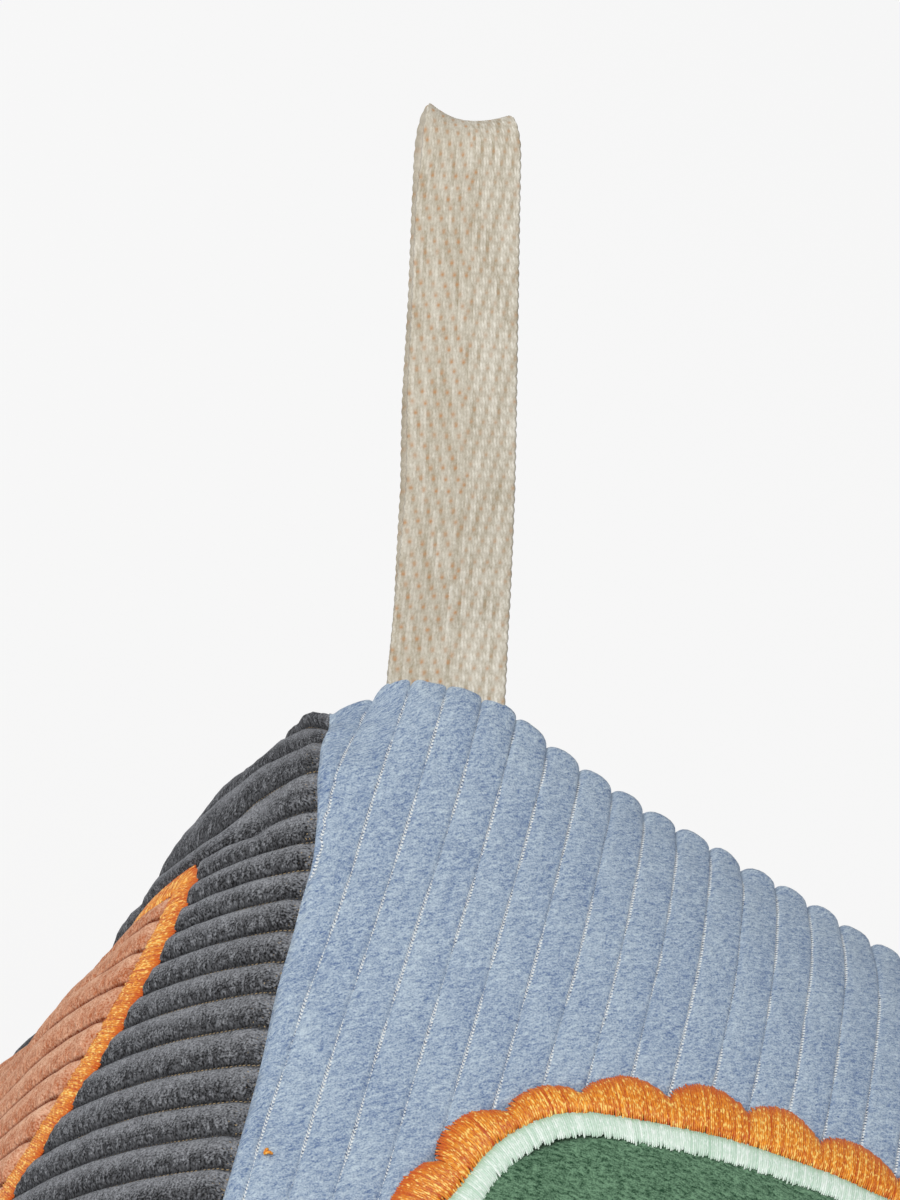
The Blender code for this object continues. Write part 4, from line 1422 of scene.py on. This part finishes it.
def weave(across, along):
    """Height, tone with painted light and shade, and the amount of crosswise yarn that shows, for places
    on the tape.
    """
    random = np.random.default_rng(7)
    tones = random.normal(0, 1, (WARPS, REPEATS))
    sizes = random.uniform(0.75, 1.25, (WARPS, REPEATS))
    slips = random.normal(0, 0.09, WARPS)
    index = np.clip(np.floor(across / WARP), 0, WARPS - 1).astype(int)
    shown, cores = 0.0, 0.0
    for near in (-1, 0, 1):
        warp = np.clip(index + near, 0, WARPS - 1)
        place = (across - (warp + 0.5) * WARP) / WARP
        step = along / WEFT - np.abs(warp - WARPS / 2 + 0.25) + slips[warp]
        from_middle = np.mod(step, REPEAT) - REPEAT / 2
        apart = (np.mod(step + REPEAT / 2, REPEAT) - REPEAT / 2) * WEFT
        count = np.clip(np.floor(step / REPEAT + 0.5), 0, REPEATS - 1).astype(int)
        if near == 0:
            dips = np.exp(-((apart / DIP) ** 2))
            within = np.mod(step + 0.5, 1) - 0.5
            slanted = (place + STROKE[2] * within) / STROKE[0]
            stroke = np.exp(-(slanted**2) - (within / STROKE[1]) ** 2 - (from_middle / STROKE_FADE) ** 2)
            tone = tones[warp, count]
            round_top = np.sqrt(np.maximum(1 - (2 * place) ** 2 * 0.85, 0))
            twist_line = np.sin(math.tau * (along / TWIST + place * 0.8) + warp)
        size = sizes[warp, count]
        spot = -((place * WARP / SPOT) ** 2) - (apart / SPOT) ** 2
        shown = np.maximum(shown, size * np.exp(spot))
        core = -((place * WARP / CORE[0]) ** 2) - ((apart + CORE_SHIFT) / CORE[1]) ** 2
        cores = np.maximum(cores, (size - 0.2) * np.exp(core))
    right_half = ease((across / TAPE_WIDTH - 0.50) / 0.12)
    height = 0.07 * round_top * (1 - 0.85 * dips) * (0.7 + 0.3 * stroke)
    height = MM * (height + 0.06 * shown + 0.018 * twist_line)
    # The tone is painted lighter on the crown and along the twist of each lengthwise yarn and darker in
    # its dips, as light and shade, and the strokes are painted highlights, stronger on the right half
    tone = 0.36 + 0.10 * tone + 0.04 * twist_line * round_top + 0.06 * (round_top - 0.7) - 0.13 * dips
    tone = tone + (0.30 + 0.30 * right_half) * stroke
    shown = (shown * 0.50 + cores * 0.75) * (1 - 0.45 * right_half)
    return height, np.clip(tone, 0, 1), np.clip(shown, 0, 1)


columns = np.linspace(0, TAPE_WIDTH, WARPS * 4 + 1)
across, along = np.meshgrid(columns, rows, indexing="ij")
relief, tone, weft = weave(across, along)
side = across / TAPE_WIDTH * 2 - 1
rounded = np.sqrt(np.clip(1 - np.clip((np.abs(side) - 0.95) / 0.05, 0, 1) ** 2, 0, 1))
tangent = unit(np.stack((np.gradient(away), np.gradient(height)), axis=1))
outer_away, outer_up = -tangent[:, 1], tangent[:, 0]


BULGE = 0.35 * MM


def tape_points(side, lift):
    """Points of the tape for shares across it from -1 to 1, one row of them per row."""
    half = (right - left)[None, :] / 2
    selvedge = 0.13 * MM * np.abs(np.sin(math.pi * rows / WEFT))[None, :] * np.abs(side) ** 8
    place = (left + right)[None, :] / 2 + half * side + selvedge * np.sign(side)
    standing_up = np.clip(height / (ARCH_HEIGHT + radius), 0, 1)[None, :]
    lift = lift + BULGE * (1 - side**2) * np.sin(math.pi * standing_up)
    rise = np.where(side < 0, FOLD_RISE[0], FOLD_RISE[1]) * side**2
    rise = rise * np.exp(-((from_top / FOLD_SPREAD) ** 2))[None, :]
    stands = height[None, :] + outer_up[None, :] * lift + rise
    back = away[None, :] + outer_away[None, :] * lift
    parts = (place, tape_across), (back, tape_away), (stands, tape_up)
    return hinge_place + sum(values[..., None] * axis for values, axis in parts)


outer = tape_points(side, (TAPE_HALF_THICK + relief - 0.12 * MM) * rounded)
inner_side = np.repeat(np.linspace(1, -1, 9)[1:-1, None], len(rows), axis=1)
inner = tape_points(inner_side, np.full(inner_side.shape, -TAPE_HALF_THICK * 0.8))
ids = np.arange(outer.shape[0] * outer.shape[1]).reshape(outer.shape[:2])
more = np.arange(inner.shape[0] * inner.shape[1]).reshape(inner.shape[:2]) + ids.size
ring = np.concatenate((ids, more, ids[:1]))
faces = grid_faces(ring)
faces += [[int(k) for k in ring[:-1, 0]], [int(k) for k in ring[:-1, -1][::-1]]]

# %% The tape's material and the loop itself
tape_look, tree, shader = new_look("natural tape")
place = stored(tree, "place", "Vector")
fibres = place.noise(4300.0, 2.0, 0.6, stretch=(1.0, 0.7, 1.0))
patches = place.noise(420.0, 1.0, 0.5)
mixed = (fibres - 0.5) * 0.75 + (patches - 0.5) * 0.35 + stored(tree, "tone")
yarns = mixed.mix(colour(164, 151, 126), colour(234, 229, 216))
shade = (stored(tree, "weft") * 0.95).mix(yarns, colour(192, 138, 88))
dress(tree, shader, shade, fibres, (0.5, 0.00005), {"Roughness": 0.78, "Sheen Weight": 0.10})

extra = inner.shape[0] * inner.shape[1]
# The inner sides of both plies lie in shade, so their tone is painted near its lightest, as light
values = {
    "tone": np.concatenate((tone.ravel(), np.full(extra, 0.95))),
    "weft": np.concatenate((weft.ravel(), np.full(extra, 0.12))),
}
inner_rows = np.tile(rows, inner.shape[0])
inner_places = np.stack((inner_side.ravel() * TAPE_WIDTH / 2, inner_rows, np.full(extra, 0.02)), axis=1)
outer_places = np.stack((across.ravel(), along.ravel(), np.zeros(across.size)), axis=1)
points = np.concatenate((outer.reshape(-1, 3), inner.reshape(-1, 3)))
places = np.concatenate((outer_places, inner_places))
tape = mesh_piece("herringbone_tape", points, faces, tape_look, values, places)
hinge_place - tape_up * 1.6 * MM
hinge_place + tape_up * 1.6 * MM
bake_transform(tape)
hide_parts("hanging_loop", "loop_ends")
print("tape:", len(faces), "faces")

# %% [markdown]
# ## Thread ends and the closing stitches
# After stuffing, the last seam is closed by hand with a ladder stitch. Its bars show as a
# row of short threads across the seam between the back and the base. One tiny loose end
# of orange thread lies beside the seam at the front corner. Both are round threads swept
# along a few points.

# %% A helper that sweeps a round thread
def thread_piece(name, lines, radius, look, sides=8):
    """Round threads with tapered ends along several lines of points."""
    points, faces = [], []
    turn = np.linspace(0, math.tau, sides, endpoint=False)
    for line in lines:
        line = np.asarray(line)
        along = unit(np.gradient(line, axis=0))
        aside = unit(np.cross(along, (0.31, 0.22, 0.93)))
        other = np.cross(along, aside)
        size = radius * np.sqrt(np.clip(1 - np.abs(np.linspace(-1, 1, len(line))) ** 8, 0.15, 1))
        around = np.cos(turn)[:, None] * aside[:, None, :] + np.sin(turn)[:, None] * other[:, None, :]
        ring = line[:, None, :] + size[:, None, None] * around
        ids = np.arange(len(line) * sides).reshape(len(line), sides) + len(points)
        points += ring.reshape(-1, 3).tolist()
        faces += grid_faces(np.concatenate((ids, ids[:, :1]), axis=1))
        faces += [[int(k) for k in ids[0][::-1]], [int(k) for k in ids[-1]]]
    return mesh_piece(name, points, faces, look, {"tone": np.full(len(points), 0.5)}, np.asarray(points))


# %% Closing stitches and the loose end
CLOSING = 60.0 * MM
LADDER = 6.0 * MM
bars = []
for k in range(round(CLOSING / LADDER) + 1):
    place = np.array(-(k * LADDER - CLOSING / 2) / HALF)
    reach = 1 - 2.2 * MM / HALF
    high = face_point("back", place, np.array(-reach), 0.55 * MM)
    low = face_point("base", -place, np.array(-reach), 0.30 * MM)
    edge = face_point("back", place, np.array(-1.0), 0.55 * MM)
    t = np.linspace(0, 1, 13)[:, None]
    bars.append(high * (1 - t) ** 2 + 2 * edge * t * (1 - t) + low * t**2)
made = thread_piece("ladder_stitches", bars, 0.38 * MM, natural)
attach(made, "block")
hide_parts("closing_stitches")

t = np.linspace(0, 1, 9)
ends = []
for turn, reach in ((0.3, 1.0), (1.2, 0.8)):
    across = (-72.0 * MM + 0.9 * MM * reach * t * math.cos(turn)) / HALF
    up = (13.8 * MM + 0.9 * MM * reach * t * math.sin(turn)) / HALF
    ends.append(sheet_points("top", across, up, 1.0 * MM + 0.35 * MM * np.sin(math.pi * t)))
made = thread_piece("loose_orange_end", ends, 0.16 * MM, orange)
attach(made, "block")
print("closing bars:", len(bars))

# %% The size of the visible pieces, and finish
low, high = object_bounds()
print("visual size in mm:", [round((b - a) / MM, 1) for a, b in zip(low, high)])
